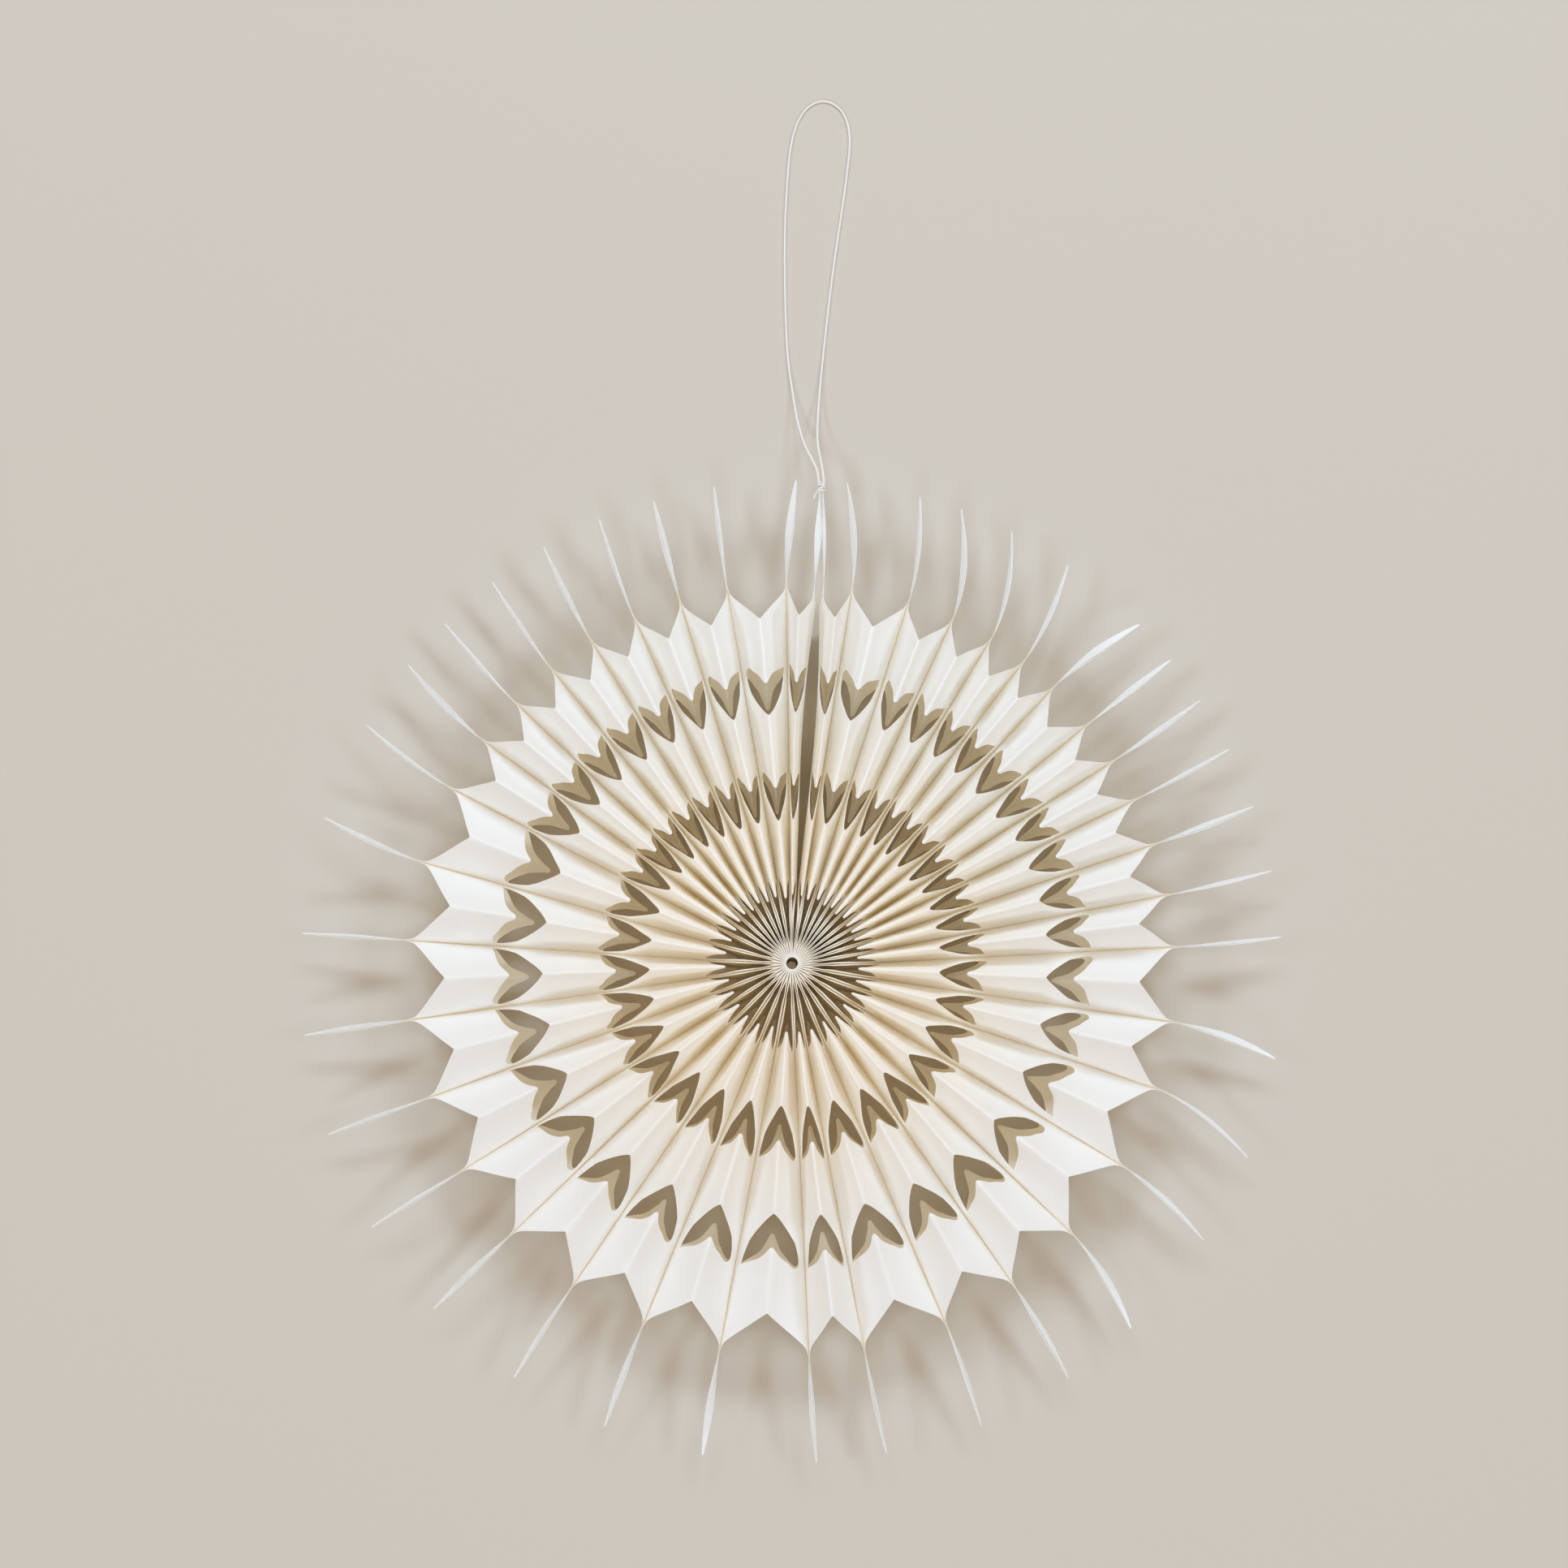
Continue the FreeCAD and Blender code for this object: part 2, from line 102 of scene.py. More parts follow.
LOOP_ROUTE = [(-3.8, 10.7, 9.1), (-7.3, 18.1, 5.9), (-9.9, 28.1, 2.7), (-11.9, 40.6, 0.6),
              (-13.9, 54.8, 0), (-14.7, 71.2, 0), (-15.1, 91.5, 0), (-15.0, 111.2, 0),
              (-14.0, 130.0, 0), (-12.8, 143.7, 0), (-10.3, 153.8, 0), (-6.2, 160.8, 0),
              (0.2, 164.2, 0), (6.9, 162.1, 0), (11.1, 155.9, 0), (12.5, 146.8, 0),
              (11.2, 134.1, 0), (8.9, 117.3, 0), (5.9, 97.5, 0), (3.2, 76.6, 0),
              (1.2, 58.0, 0), (-0.5, 41.1, 0.6), (-1.4, 28.1, 2.7), (-1.6, 17.1, 5.9)]

HALF_DEPTH = LEAF_DEPTH / 2
HALF_STRIP = GLUE_STRIP / 2
PANEL = HALF_DEPTH - HALF_STRIP
HALF_FILM = GLUE_FILM / 2
LEAVES = sum(count for count, _ in LEAF_SLANTS)
HUB_RADIUS = LEAVES * (PAPER + HALF_FILM) / math.pi
CUSPS = [FIRST_CUSP + ring * RING_PITCH for ring in range(RINGS)]
NOTCH = CUSPS[-1] + NOTCH_BEYOND
WHISKER_BASE = NOTCH + NOTCH_RISE
NECK = WHISKER_BASE + NECK_RUN
TIP = NECK + WHISKER_LENGTH
WIDEST = NECK + WIDEST_RUN

EASING_STEPS = 60

# ---- sizes that only the looks need ----
VARIANTS = 4             # different sets of cut edges in each part of the ring


class Cut:
    """How the windows differ in one part of the ring, from an azimuth on and so far round."""

    def __init__(self, start, reach, wide, mouth, back_shift):
        self.start, self.reach = start, reach
        self.wide, self.mouth, self.back_shift = wide, mouth, back_shift


CUTS = [Cut(316, 104, 0.98, 13.4, 2.4),      # top
        Cut(60, 76, 0.96, 11.6, 2.0),        # right
        Cut(136, 94, 0.98, 14.0, 0.3),       # bottom
        Cut(230, 86, 1.10, 13.8, 1.4)]       # left
BACK_LOBE_RISE = 1.6     # of a back window's lobes above a front window's
BACK_LOBE_SLIM = 0.8     # less width of a back window between its lobes
HUB_OPENS_EARLIER = 1.6  # than the window's start in the CAD model

PARTINGS = [0.2, 0.35, 0.25, 0.45, 0.15, 0.3, 0.4]   # of a whisker's two layers, each from the middle
PARTING_POWER = 0.7      # under 1, so that they part soon and meet late
ROLLS = [11, 15, 9, 17, 12, 8, 14]   # degrees, half way along a whisker
SEAM_ROLLS = {1: 16, -1: -38}        # the same for the two single whiskers at the seam
RAGGED = 0.03            # unevenness of a whisker's width, as a share of it

EDGE_STEP = 0.75         # between points along a cut edge
RIM_STEP = 1.2           # the same along the outer rim
FOLD_STEP = 2.6          # the same along a fold
ROW_STEP = 3.4           # between rows of points across a sheet
WHISKER_STEP = 1.8       # between points down the middle of a whisker
CLEAR = 0.5              # from a cut edge to the nearest inner point

# The sheets of neighbouring leaves are pressed together near the hub, in 39 double ribs, which are
# thicker there. Distances from the axis where that starts and ends, and how far each change takes.
PRESS_FROM, PRESS_IN, PRESS_UNTIL, PRESS_OUT = 3.5, 4, 26, 10
PRESS_FRONT, PRESS_BACK = 0.85, 0.2  # how much of the gap closes, in front and behind
SWELL_FROM, SWELL_IN, SWELL_UNTIL, SWELL_OUT = 10, 11, 27, 10
EDGE_SWELL = 0.36        # more thickness of a sheet
# The free sides at the seam close towards the hub and the rim, as shares of the line's length.
GAP_WIDEST, GAP_INWARD, GAP_OUTWARD, GAP_LEAST = 0.5, 0.4, 0.29, 0.12
GAP_FROM = 14            # distance from the axis
SIDE_FREE = 157          # beyond it, the strips at the seam are straight too
# A sheet is creased sharply near the hub and bends more roundly beyond.
ROUND_FROM, ROUND_IN = 12, 30
# It bulges outwards and is wavy and rippled. Heights, then the lengths of wave and ripple.
BULGE, WAVE, RIPPLE = 0.12, 0.28, 0.16
WAVE_RUN, RIPPLE_RUN = 12.5, 5.3
BULGE_FULL = 9           # half the leaf's width from which on it does so fully
SIDE_ROUND = 0.85        # under 1, the free sides at the seam are rounder than a half sine
CURL_REACH = 3.0         # of the curled paper between two lobes, from the fold
FOLD_COLUMNS = [0.1, 0.24, 0.45, 0.8, 1.4, 2.4, 4.0, 6.3, 9.0, 11.8, 14.2, 16.2, 17.6, 18.6, 19.3]
STRIP_COLUMNS = [19.8, 20.4, 21.0, 21.6, 22.2]


def unit(v):
    return v / np.linalg.norm(v, axis=-1, keepdims=True)


def spread(runs):
    return [values for count, *values in runs for _ in range(count)]


def heading(azimuth):
    angle = math.radians(azimuth)
    return np.array([math.sin(angle), math.cos(angle), 0.0])


def smoothstep(x):
    x = np.clip(x, 0, 1)
    return x * x * (3 - 2 * x)


# ---------------------------------------------------------------- the ring of glued lines
def opening(slant, ease):
    eased = 2 * math.atan(ease * math.tan(math.radians(slant) / 2))
    return 2 * math.degrees(math.asin(PANEL * math.sin(eased) / NECK))


def openings():
    slants = [values[0] for values in spread(LEAF_SLANTS)]
    low, high = 0.0, 1 / math.tan(math.radians(max(slants)) / 2)
    for _ in range(EASING_STEPS):
        ease = (low + high) / 2
        if sum(opening(slant, ease) for slant in slants) < 360:
            low = ease
        else:
            high = ease
    return [opening(slant, ease) for slant in slants]


OPENINGS = openings()
LEAN = math.radians(DISH)
HUB_HEIGHT = NOTCH * math.sin(LEAN) + math.cos(LEAN) * (
    HALF_STRIP + math.sqrt(PANEL ** 2 - (NOTCH * math.radians(min(OPENINGS) / 2)) ** 2))


class Line:
    """Glued line between two leaves, which goes on as a whisker."""

    def __init__(self, index, azimuth, side, bend):
        hub = heading(SEAM_AZIMUTH + index * 360 / LEAVES) * HUB_RADIUS
        self.start = hub + UP * HUB_HEIGHT
        self.out = unit(heading(azimuth) * NECK - hub)
        self.along = self.out * math.cos(LEAN) - UP * math.sin(LEAN)
        self.normal = self.out * math.sin(LEAN) + UP * math.cos(LEAN)
        self.across = np.cross(self.along, self.normal)
        self.side = side
        self.sway, self.twist = math.radians(bend[0]), math.radians(bend[1])
        self.parting = PARTINGS[index % len(PARTINGS)]
        self.roll = math.radians(SEAM_ROLLS.get(side, ROLLS[index % len(ROLLS)]))

    def at(self, r):
        share = (r[:, None] - HUB_RADIUS) / (TIP - HUB_RADIUS)
        gape = self.side * (SEAM_GAPE / 2 * np.sin(np.pi * share) + TIED_GAP / 2 * share)
        return self.start + self.along * (r[:, None] - HUB_RADIUS) + self.across * gape

    def upright(self, r):
        return unit(UP + (self.normal - UP) * np.minimum(1, r / HUB_STRAIGHT)[:, None])

    def whisker(self, r, height, layer):
        """Glued face of the whisker, which sways and twists more and more towards its tip."""
        free = np.clip((r - NECK) / WHISKER_LENGTH, 0, 1)
        share = free ** BEND_POWER
        turn = (self.twist * share + self.roll * np.sin(np.pi * free))[:, None]
        middle = self.at(r) + self.across * (r * self.sway * share)[:, None]
        square = self.across * np.cos(turn) - self.normal * np.sin(turn)
        half = self.normal * np.cos(turn) + self.across * np.sin(turn)
        # the layers part a little more at the upper edge
        part = self.parting * np.sin(np.pi * free) ** PARTING_POWER * (0.7 + 0.3 * height / WHISKER_WIDTH)
        return middle + half * height[:, None] + square * (layer * (HALF_FILM + part))[:, None]


AZIMUTHS = [SEAM_AZIMUTH]
for degrees in OPENINGS:
    AZIMUTHS.append(AZIMUTHS[-1] + degrees)
BENDS = [[SEAM_SWAY, 0]] + spread(WHISKER_BENDS) + [[SEAM_SWAY, 0]]
SIDES = [1] + [0] * (LEAVES - 1) + [-1]
LINES = [Line(i, AZIMUTHS[i], SIDES[i], BENDS[i]) for i in range(LEAVES + 1)]


# ---------------------------------------------------------------- camera
CAMERA_DISTANCE = 1.42
CAMERA_TILT = (-0.2, -1.8)       # degrees off the snowflake's axis, towards +X and +Y
LENS = 82.5
SENSOR = 36
AIM = (-0.0032, 0.0708)          # metres from the front of the hub, in the image's directions

hub_front = Vector((0, 0, cad_box[1].z))
back = Vector([math.tan(math.radians(tilt)) for tilt in CAMERA_TILT] + [1]).normalized()
camera_data = bpy.data.cameras.new("camera")
camera = bpy.data.objects.new("camera", camera_data)
bpy.context.scene.collection.objects.link(camera)
camera.location = hub_front + back * CAMERA_DISTANCE
right = (-back).cross(Vector((0, 1, 0))).normalized()
aim = hub_front + right * AIM[0] + right.cross(-back).normalized() * AIM[1]
forward = (aim - camera.location).normalized()
right = forward.cross(Vector((0, 1, 0))).normalized()
upward = right.cross(forward)
camera.rotation_mode = "QUATERNION"
camera.rotation_quaternion = Matrix((right, upward, -forward)).transposed().to_quaternion()
camera_data.lens = LENS
camera_data.sensor_width = SENSOR
camera_data.clip_end = 20
bpy.context.scene.camera = camera


# ---------------------------------------------------------------- mesh helper
def make_mesh(name, points, triangles, uv=None, values=None, smooth_angle=50):
    """Mesh object from numpy arrays, points in millimetres, with smooth faces and sharp edges."""
    mesh = bpy.data.meshes.new(name)
    mesh.vertices.add(len(points))
    mesh.vertices.foreach_set("co", (np.asarray(points) * MM).astype(np.float32).ravel())
    count = len(triangles)
    mesh.loops.add(count * 3)
    mesh.loops.foreach_set("vertex_index", np.asarray(triangles, np.int32).ravel())
    mesh.polygons.add(count)
    mesh.polygons.foreach_set("loop_start", np.arange(0, count * 3, 3, dtype=np.int32))
    mesh.polygons.foreach_set("use_smooth", np.ones(count, dtype=bool))
    mesh.update(calc_edges=True)
    if uv is not None:
        layer = mesh.uv_layers.new(name="flat")
        layer.data.foreach_set("uv", uv[np.asarray(triangles).ravel()].astype(np.float32).ravel())
    for key, array in (values or {}).items():
        attribute = mesh.attributes.new(key, "FLOAT", "POINT")
        attribute.data.foreach_set("value", array.astype(np.float32))
    mesh.set_sharp_from_angle(angle=math.radians(smooth_angle))
    mesh.validate()
    obj = bpy.data.objects.new(name, mesh)
    bpy.context.scene.collection.objects.link(obj)
    return obj


# ---------------------------------------------------------------- hanging thread
def knot_points():
    """Start, axis, crosswise direction and outer end of the knot at the seam's tied tips."""
    def middle(r):
        r = np.array([r])
        zero = np.zeros(1)
        return (LINES[0].whisker(r, zero, 0) + LINES[-1].whisker(r, zero, 0))[0] / 2
    start = middle(TIP - KNOT_FROM_TIP - KNOT_LENGTH)
    axis = unit(middle(TIP) - start)
    across = unit(np.cross(axis, LINES[0].normal))
    return start, axis, across, start + axis * KNOT_LENGTH


KNOT_START, KNOT_AXIS, KNOT_ACROSS, KNOT_END = knot_points()


def exit_point(side):
    return KNOT_END + KNOT_ACROSS * (side * (KNOT_WIDTH - 2 * KNOT_ROUND - THREAD) / 2)


route = [exit_point(-1), exit_point(-1) + KNOT_AXIS * EXIT_RUN]
route += [np.array([KNOT_END[0] + x, KNOT_END[1] + y, z + THREAD / 2]) for x, y, z in LOOP_ROUTE]
route += [exit_point(1) + KNOT_AXIS * EXIT_RUN, exit_point(1)]


def follow(points, resolution):
    """Points along the smooth line of a NURBS spline with these control points."""
    data = bpy.data.curves.new("route", "CURVE")
    data.dimensions = "3D"
    spline = data.splines.new("NURBS")
    spline.points.add(len(points) - 1)
    for control, point in zip(spline.points, points):
        control.co = (*(point * MM), 1)
    spline.order_u = 3
    spline.use_endpoint_u = True
    spline.resolution_u = resolution
    holder = bpy.data.objects.new("route", data)
    bpy.context.scene.collection.objects.link(holder)
    bpy.context.view_layer.update()
    line = bpy.data.meshes.new_from_object(holder)
    found = np.array([v.co for v in line.vertices]) / MM
    bpy.data.objects.remove(holder)
    bpy.data.curves.remove(data)
    bpy.data.meshes.remove(line)
    return found


def lengths_along(points):
    return np.concatenate([[0], np.cumsum(np.linalg.norm(np.diff(points, axis=0), axis=1))])


def frames(points):
    """Tangents and a pair of crosswise directions that turn as little as possible along a line."""
    tangents = unit(np.gradient(points, axis=0))
    first = np.cross(tangents[0], [0.3, 0.2, 1.0])
    ones = [unit(first)]
    for tangent in tangents[1:]:
        ones.append(unit(ones[-1] - tangent * np.dot(ones[-1], tangent)))
    ones = np.array(ones)
    return tangents, ones, np.cross(tangents, ones)


UV_RUN = 10              # millimetres of thread for one unit of uv


def rods(lines, radii, sides):
    """Points, triangles and uv of closed round rods along several lines."""
    points, triangles, uv = [], [], []
    base = 0
    for line, radius in zip(lines, radii):
        _, one, two = frames(line)
        angle = np.arange(sides) / sides * 2 * np.pi
        rings = (line[:, None] + one[:, None] * (np.cos(angle)[None, :, None] * radius[:, None, None])
                 + two[:, None] * (np.sin(angle)[None, :, None] * radius[:, None, None]))
        count = len(line)
        points.append(rings.reshape(-1, 3))
        points.append(line[[0, -1]])
        length = lengths_along(line)
        uv.append(np.stack([np.tile(np.arange(sides) / sides, count), np.repeat(length, sides) / UV_RUN], 1))
        uv.append(np.array([[0.5, 0], [0.5, length[-1] / UV_RUN]]))
        i, j = np.meshgrid(np.arange(count - 1), np.arange(sides), indexing="ij")
        a = base + i * sides + j
        b = base + i * sides + (j + 1) % sides
        quads = np.stack([a, b, b + sides, a + sides], -1).reshape(-1, 4)
        triangles += [quads[:, [0, 1, 2]], quads[:, [0, 2, 3]]]
        j = np.arange(sides)
        start, end = base + count * sides, base + count * sides + 1
        last = base + (count - 1) * sides
        triangles.append(np.stack([base + (j + 1) % sides, base + j, np.full(sides, start)], 1))
        triangles.append(np.stack([last + j, last + (j + 1) % sides, np.full(sides, end)], 1))
        base += count * sides + 2
    return np.concatenate(points), np.concatenate(triangles), np.concatenate(uv)


PLIES = 3
PLY = 0.27               # radius of one ply
PLY_OFFSET = THREAD / 2 - PLY
LAY_LENGTH = 3.0         # along the thread, for one turn of the plies
LOOP_PLY_SIDES, KNOT_PLY_SIDES = 7, 8
LOOP_FINE, COIL_FINE, HITCH_FINE = 40, 6, 8      # points of a line for each of its control points


def plies(line, places, seed=0):
    """Centre lines of the twisted plies round a line."""
    _, one, two = frames(line)
    drift = 0.5 * np.sin(places / 17.0 + seed) + 0.35 * np.sin(places / 6.1 + 2 * seed)
    made = []
    for k in range(PLIES):
        angle = 2 * np.pi * (places / LAY_LENGTH + k / PLIES) + drift
        made.append(line + PLY_OFFSET * (one * np.cos(angle)[:, None] + two * np.sin(angle)[:, None]))
    return made


loop_line = follow(route, LOOP_FINE)
loop_lines = plies(loop_line, lengths_along(loop_line))
points, triangles, uv = rods(loop_lines, [np.full(len(loop_line), PLY)] * PLIES, LOOP_PLY_SIDES)
thread = make_mesh("thread_loop", points, triangles, uv, smooth_angle=80)

# The knot: one strand comes down into three turns round the tips. The other crosses over them, and
# its short end sticks out.
KNOT_UP = np.cross(KNOT_ACROSS, KNOT_AXIS)
KNOT_TURNS = 3.2
COIL_WIDTH, COIL_HEIGHT = 1.22, 1.42         # from its axis to the middle of the strand
COIL_MARGIN = 0.55                           # from the knot's ends
COIL_STEPS, COIL_SKIP, COIL_EACH = 240, 6, 9    # steps down the coil, and those that are points
LEAD_IN = [0.2, -0.35]                       # the first strand's points beyond its exit
FRAY_RUN, FRAY_LEAST = 0.8, 0.45             # how long the frayed end is, and how thin it becomes
# the second strand's last points, along the knot, crosswise and up from the knot's start
HITCH = [(2.6, 1.1, 1.75), (1.2, -0.4, 2.15), (0.3, -1.7, 1.0), (-0.1, -2.1, -0.4),
         (-1.2, -2.9, -1.2), (-2.6, -3.2, -2.2)]


def coil_points():
    """Points that wind round the paper tips, from the first exit on."""
    steps = np.linspace(0, 1, COIL_STEPS)[COIL_SKIP::COIL_EACH]
    angle = 2 * np.pi * KNOT_TURNS * steps + math.pi
    along = KNOT_LENGTH - COIL_MARGIN - (KNOT_LENGTH - 2 * COIL_MARGIN) * smoothstep(steps)
    return (KNOT_START + KNOT_AXIS * along[:, None] + KNOT_ACROSS * (np.cos(angle) * COIL_WIDTH)[:, None]
            + KNOT_UP * (np.sin(angle) * COIL_HEIGHT)[:, None])


first_turns = follow([exit_point(-1) + KNOT_AXIS * run for run in LEAD_IN] + list(coil_points()), COIL_FINE)
hitch = follow([exit_point(1) + KNOT_AXIS * LEAD_IN[0], exit_point(1) - KNOT_AXIS * 0.5 + KNOT_UP * 0.7]
               + [KNOT_START + KNOT_AXIS * a + KNOT_ACROSS * b + KNOT_UP * c for a, b, c in HITCH],
               HITCH_FINE)
knot_rods, knot_radii = [], []
for number, line in enumerate((first_turns, hitch)):
    places = lengths_along(line)
    for ply in plies(line, places, seed=number + 1):
        knot_rods.append(ply)
        radius = np.full(len(line), PLY)
        if line is hitch:
            radius = PLY * np.clip((places[-1] - places) / FRAY_RUN, FRAY_LEAST, 1)
        knot_radii.append(radius)
points, triangles, uv = rods(knot_rods, knot_radii, KNOT_PLY_SIDES)
knot = make_mesh("thread_knot", points, triangles, uv, smooth_angle=80)
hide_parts("loop_knot")
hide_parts("hanging_loop")
for piece in (thread, knot):
    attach(piece, "root")


# ---------------------------------------------------------------- flat pattern of a side sheet
def resample(points, step):
    """Points along a broken line at about even steps, with its two ends kept."""
    points = np.array(points, float)
    lengths = lengths_along(points)
    places = np.linspace(0, lengths[-1], max(2, int(math.ceil(lengths[-1] / step)) + 1))
    return np.stack([np.interp(places, lengths, points[:, k]) for k in range(2)], 1)


def rounded(points, passes=2):
    """A broken line with its corners cut off, a little closer each time."""
    points = [np.array(p, float) for p in points]
    for _ in range(passes):
        cut = [points[0]]
        for a, b in zip(points, points[1:]):
            cut += [a * 0.75 + b * 0.25, a * 0.25 + b * 0.75]
        points = cut + [points[-1]]
    return points


def window(cut, cusp, first, side, rng, hook, hind):
    """Half of a heart-shaped cut on one sheet, from the V's bottom on the fold to the cusp on the
    fold, as (distance from the fold, r). The clockwise sheet's lobe is pointed, the other is round.
    The points below are the heart's own shape, measured from the bottom, the top and the cusp."""
    bottom = HUB_WINDOW_START - HUB_OPENS_EARLIER if first else cusp - cut.mouth
    top = cusp + LOBE_RISE + (BACK_LOBE_RISE if hind and not first else 0.0)
    slim = BACK_LOBE_SLIM if hind else 0.0
    run = (top - 6.0 - bottom) / 16.5

    def uneven(size):
        return rng.uniform(-size, size)

    mouth = [(0, 0), (2.9, 1.9 * run), (6.6, (5.0 + uneven(0.3)) * run),
             (10.4, (8.8 + uneven(0.2)) * run), (13.3, 12.4 * run), (14.7, top - 6.6 - bottom)]
    if first:
        mouth = [(0, 0), (0.8, 3.0), (2.0, 7.0), (4.9, 11.8), (9.6, 16.6), (14.7, 22.0)]
    mouth = [(w, bottom + rise) for w, rise in mouth]
    nick = rng.uniform(0.0, 0.5)
    tip = [(3.6 - slim, cusp + 3.2), (1.9 - slim / 2 + nick, cusp + 1.7),
           (0.85 + nick / 2, cusp + 0.55 + hook), (0.3, cusp + hook * 0.8), (0, cusp + hook)]
    if side > 0:
        lobe = [(15.6, -3.6), (16.0, -1.2), (16.1, 0.3 + uneven(0.3)), (14.9, -0.5),
                (11.2 - slim, -1.9 + uneven(0.2)), (6.6 - slim, -3.8)]
    else:
        lobe = [(15.4, -3.6), (15.5, -1.6), (14.8, -0.3), (13.4, 0.2 + uneven(0.25)), (11.9, -0.2),
                (10.4 - slim, -1.3), (8.6 - slim, -2.7 + uneven(0.2)), (6.0 - slim, -4.2)]
    lobe = [(w, top + rise) for w, rise in lobe]
    if side > 0:
        turn = rounded(mouth[4:] + lobe[:2]) + [np.array(lobe[2])] + rounded(lobe[3:] + tip[:3])
    else:
        turn = rounded(mouth[4:] + lobe + tip[:3])
    line = rounded(mouth[:5])[:-1] + turn + [np.array(p, float) for p in tip[3:]]
    return resample([(w * cut.wide, r) for w, r in line], EDGE_STEP)


def whisker_half(r):
    swell = np.sin(np.pi / 2 * np.clip((r - NECK) / WIDEST_RUN, 0, 1))
    wide = GLUE_STRIP + (WHISKER_WIDTH - GLUE_STRIP) * swell
    fall = np.clip((r - WIDEST) / (TIP - WIDEST), 0, 1)
    narrow = WHISKER_WIDTH + (TIP_WIDTH - WHISKER_WIDTH) * fall ** TIP_TAPER
    return np.where(r < WIDEST, wide, narrow) / 2


def fold_points(start, end):
    """Inner points along a fold between two cuts, the same for both sheets that meet there."""
    count = max(1, int(round(abs(end - start) / FOLD_STEP)))
    return np.linspace(start, end, count + 1)


# the outer rim from the notch on the fold to the whisker, as (distance from the fold, beyond the notch)
RIM = [(0, 0), (6.0, 4.9), (12.6, 10.2), (17.0, 14.0), (18.8, 16.4), (19.35, 18.5)]


def side_outline(cut, side, rng, steps):
    """Closed outline of one side sheet. `steps` has, for each fold and window, where the cut meets
    the fold, which both sheets share."""
    front, hind = [], []
    for fold, line in ((0, front), (1, hind)):
        at = HUB_RADIUS
        for ring, cusp in enumerate(CUSPS):
            cusp = cusp - fold * cut.back_shift * (ring > 0)
            step = steps[fold][ring]
            heart = window(cut, cusp, ring == 0, side, rng, step, fold == 1)
            line += [(0.0, r) for r in fold_points(at, heart[0][1])[:-1]]
            line += [tuple(p) for p in heart[:-1]]
            at = cusp + step
        line += [(0.0, r) for r in fold_points(at, NOTCH)[:-1]]
        edge = rounded([(w, NOTCH + rise) for w, rise in RIM])
        line += [tuple(p) for p in resample(edge, RIM_STEP)[:-1]]
    r = np.concatenate([np.linspace(NOTCH + RIM[-1][1], TIP - 1.0, 26), [TIP - 0.45, TIP]])
    half = np.where(r < NECK, HALF_STRIP, whisker_half(r))
    half[-2:] = half[-2] * np.array([0.8, 0.35])
    half = half * (1 - RAGGED * np.sin(r * 1.7 + steps[2]) * (r > NECK))
    half[0] = HALF_DEPTH - RIM[-1][0]
    whisker_front = [(HALF_DEPTH - h, d) for h, d in zip(half, r)]
    whisker_hind = [(HALF_DEPTH + h, d) for h, d in zip(half, r)]
    hind = [(LEAF_DEPTH - w, d) for w, d in hind]
    hub = [(w, HUB_RADIUS) for w in FOLD_COLUMNS[2::2] + [HALF_DEPTH]]
    hub += [(LEAF_DEPTH - w, HUB_RADIUS) for w in reversed(FOLD_COLUMNS[2::2])]
    outline = front + whisker_front + whisker_hind[::-1] + hind[::-1] + hub[::-1]
    return np.array(outline)


def inside(points, outline):
    """Which points are inside a closed outline, and how far each is from it."""
    a, b = outline, np.roll(outline, -1, 0)
    x, y = points[:, :1], points[:, 1:]
    crossing = (a[:, 1] > y) != (b[:, 1] > y)
    with np.errstate(divide="ignore", invalid="ignore"):
        at = a[:, 0] + (y - a[:, 1]) / (b[:, 1] - a[:, 1]) * (b[:, 0] - a[:, 0])
    within = (crossing & (x < at)).sum(1) % 2 == 1
    run = b - a
    share = np.clip(((x - a[:, 0]) * run[:, 0] + (y - a[:, 1]) * run[:, 1]) / (run ** 2).sum(1), 0, 1)
    gap = np.hypot(x - a[:, 0] - share * run[:, 0], y - a[:, 1] - share * run[:, 1]).min(1)
    return within, gap


def side_pattern(cut, side, rng, steps):
    """Points (w, r) and triangles of one flat side sheet."""
    outline = side_outline(cut, side, rng, steps)
    columns = FOLD_COLUMNS + STRIP_COLUMNS + [LEAF_DEPTH - w for w in reversed(FOLD_COLUMNS)]
    rows = np.arange(HUB_RADIUS + 0.9, WHISKER_BASE + 3, ROW_STEP)
    grid = []
    for k, w in enumerate(columns):
        offset = (k % 2) * ROW_STEP / 2
        grid += [(w, r + offset) for r in rows]
    for r in np.arange(NECK + 1.0, TIP - 2, WHISKER_STEP):
        grid.append((HALF_DEPTH, r))
    grid = np.array(grid)
    within, gap = inside(grid, outline)
    near_fold = np.minimum(grid[:, 0], LEAF_DEPTH - grid[:, 0])
    grid = grid[within & (gap > np.minimum(CLEAR, near_fold * 0.7))]
    points = [tuple(p) for p in outline] + [tuple(p) for p in grid]
    out = delaunay_2d_cdt([Vector(p) for p in points], [], [list(range(len(outline)))], 1, 1e-5)
    verts = np.array([(v.x, v.y) for v in out[0]])
    tris = np.array([f for f in out[2] if len(f) == 3])
    a, b, c = verts[tris[:, 0]], verts[tris[:, 1]], verts[tris[:, 2]]
    area = (b[:, 0] - a[:, 0]) * (c[:, 1] - a[:, 1]) - (b[:, 1] - a[:, 1]) * (c[:, 0] - a[:, 0])
    tris[area < 0] = tris[area < 0][:, ::-1]
    return verts, tris[np.abs(area) > 1e-7]


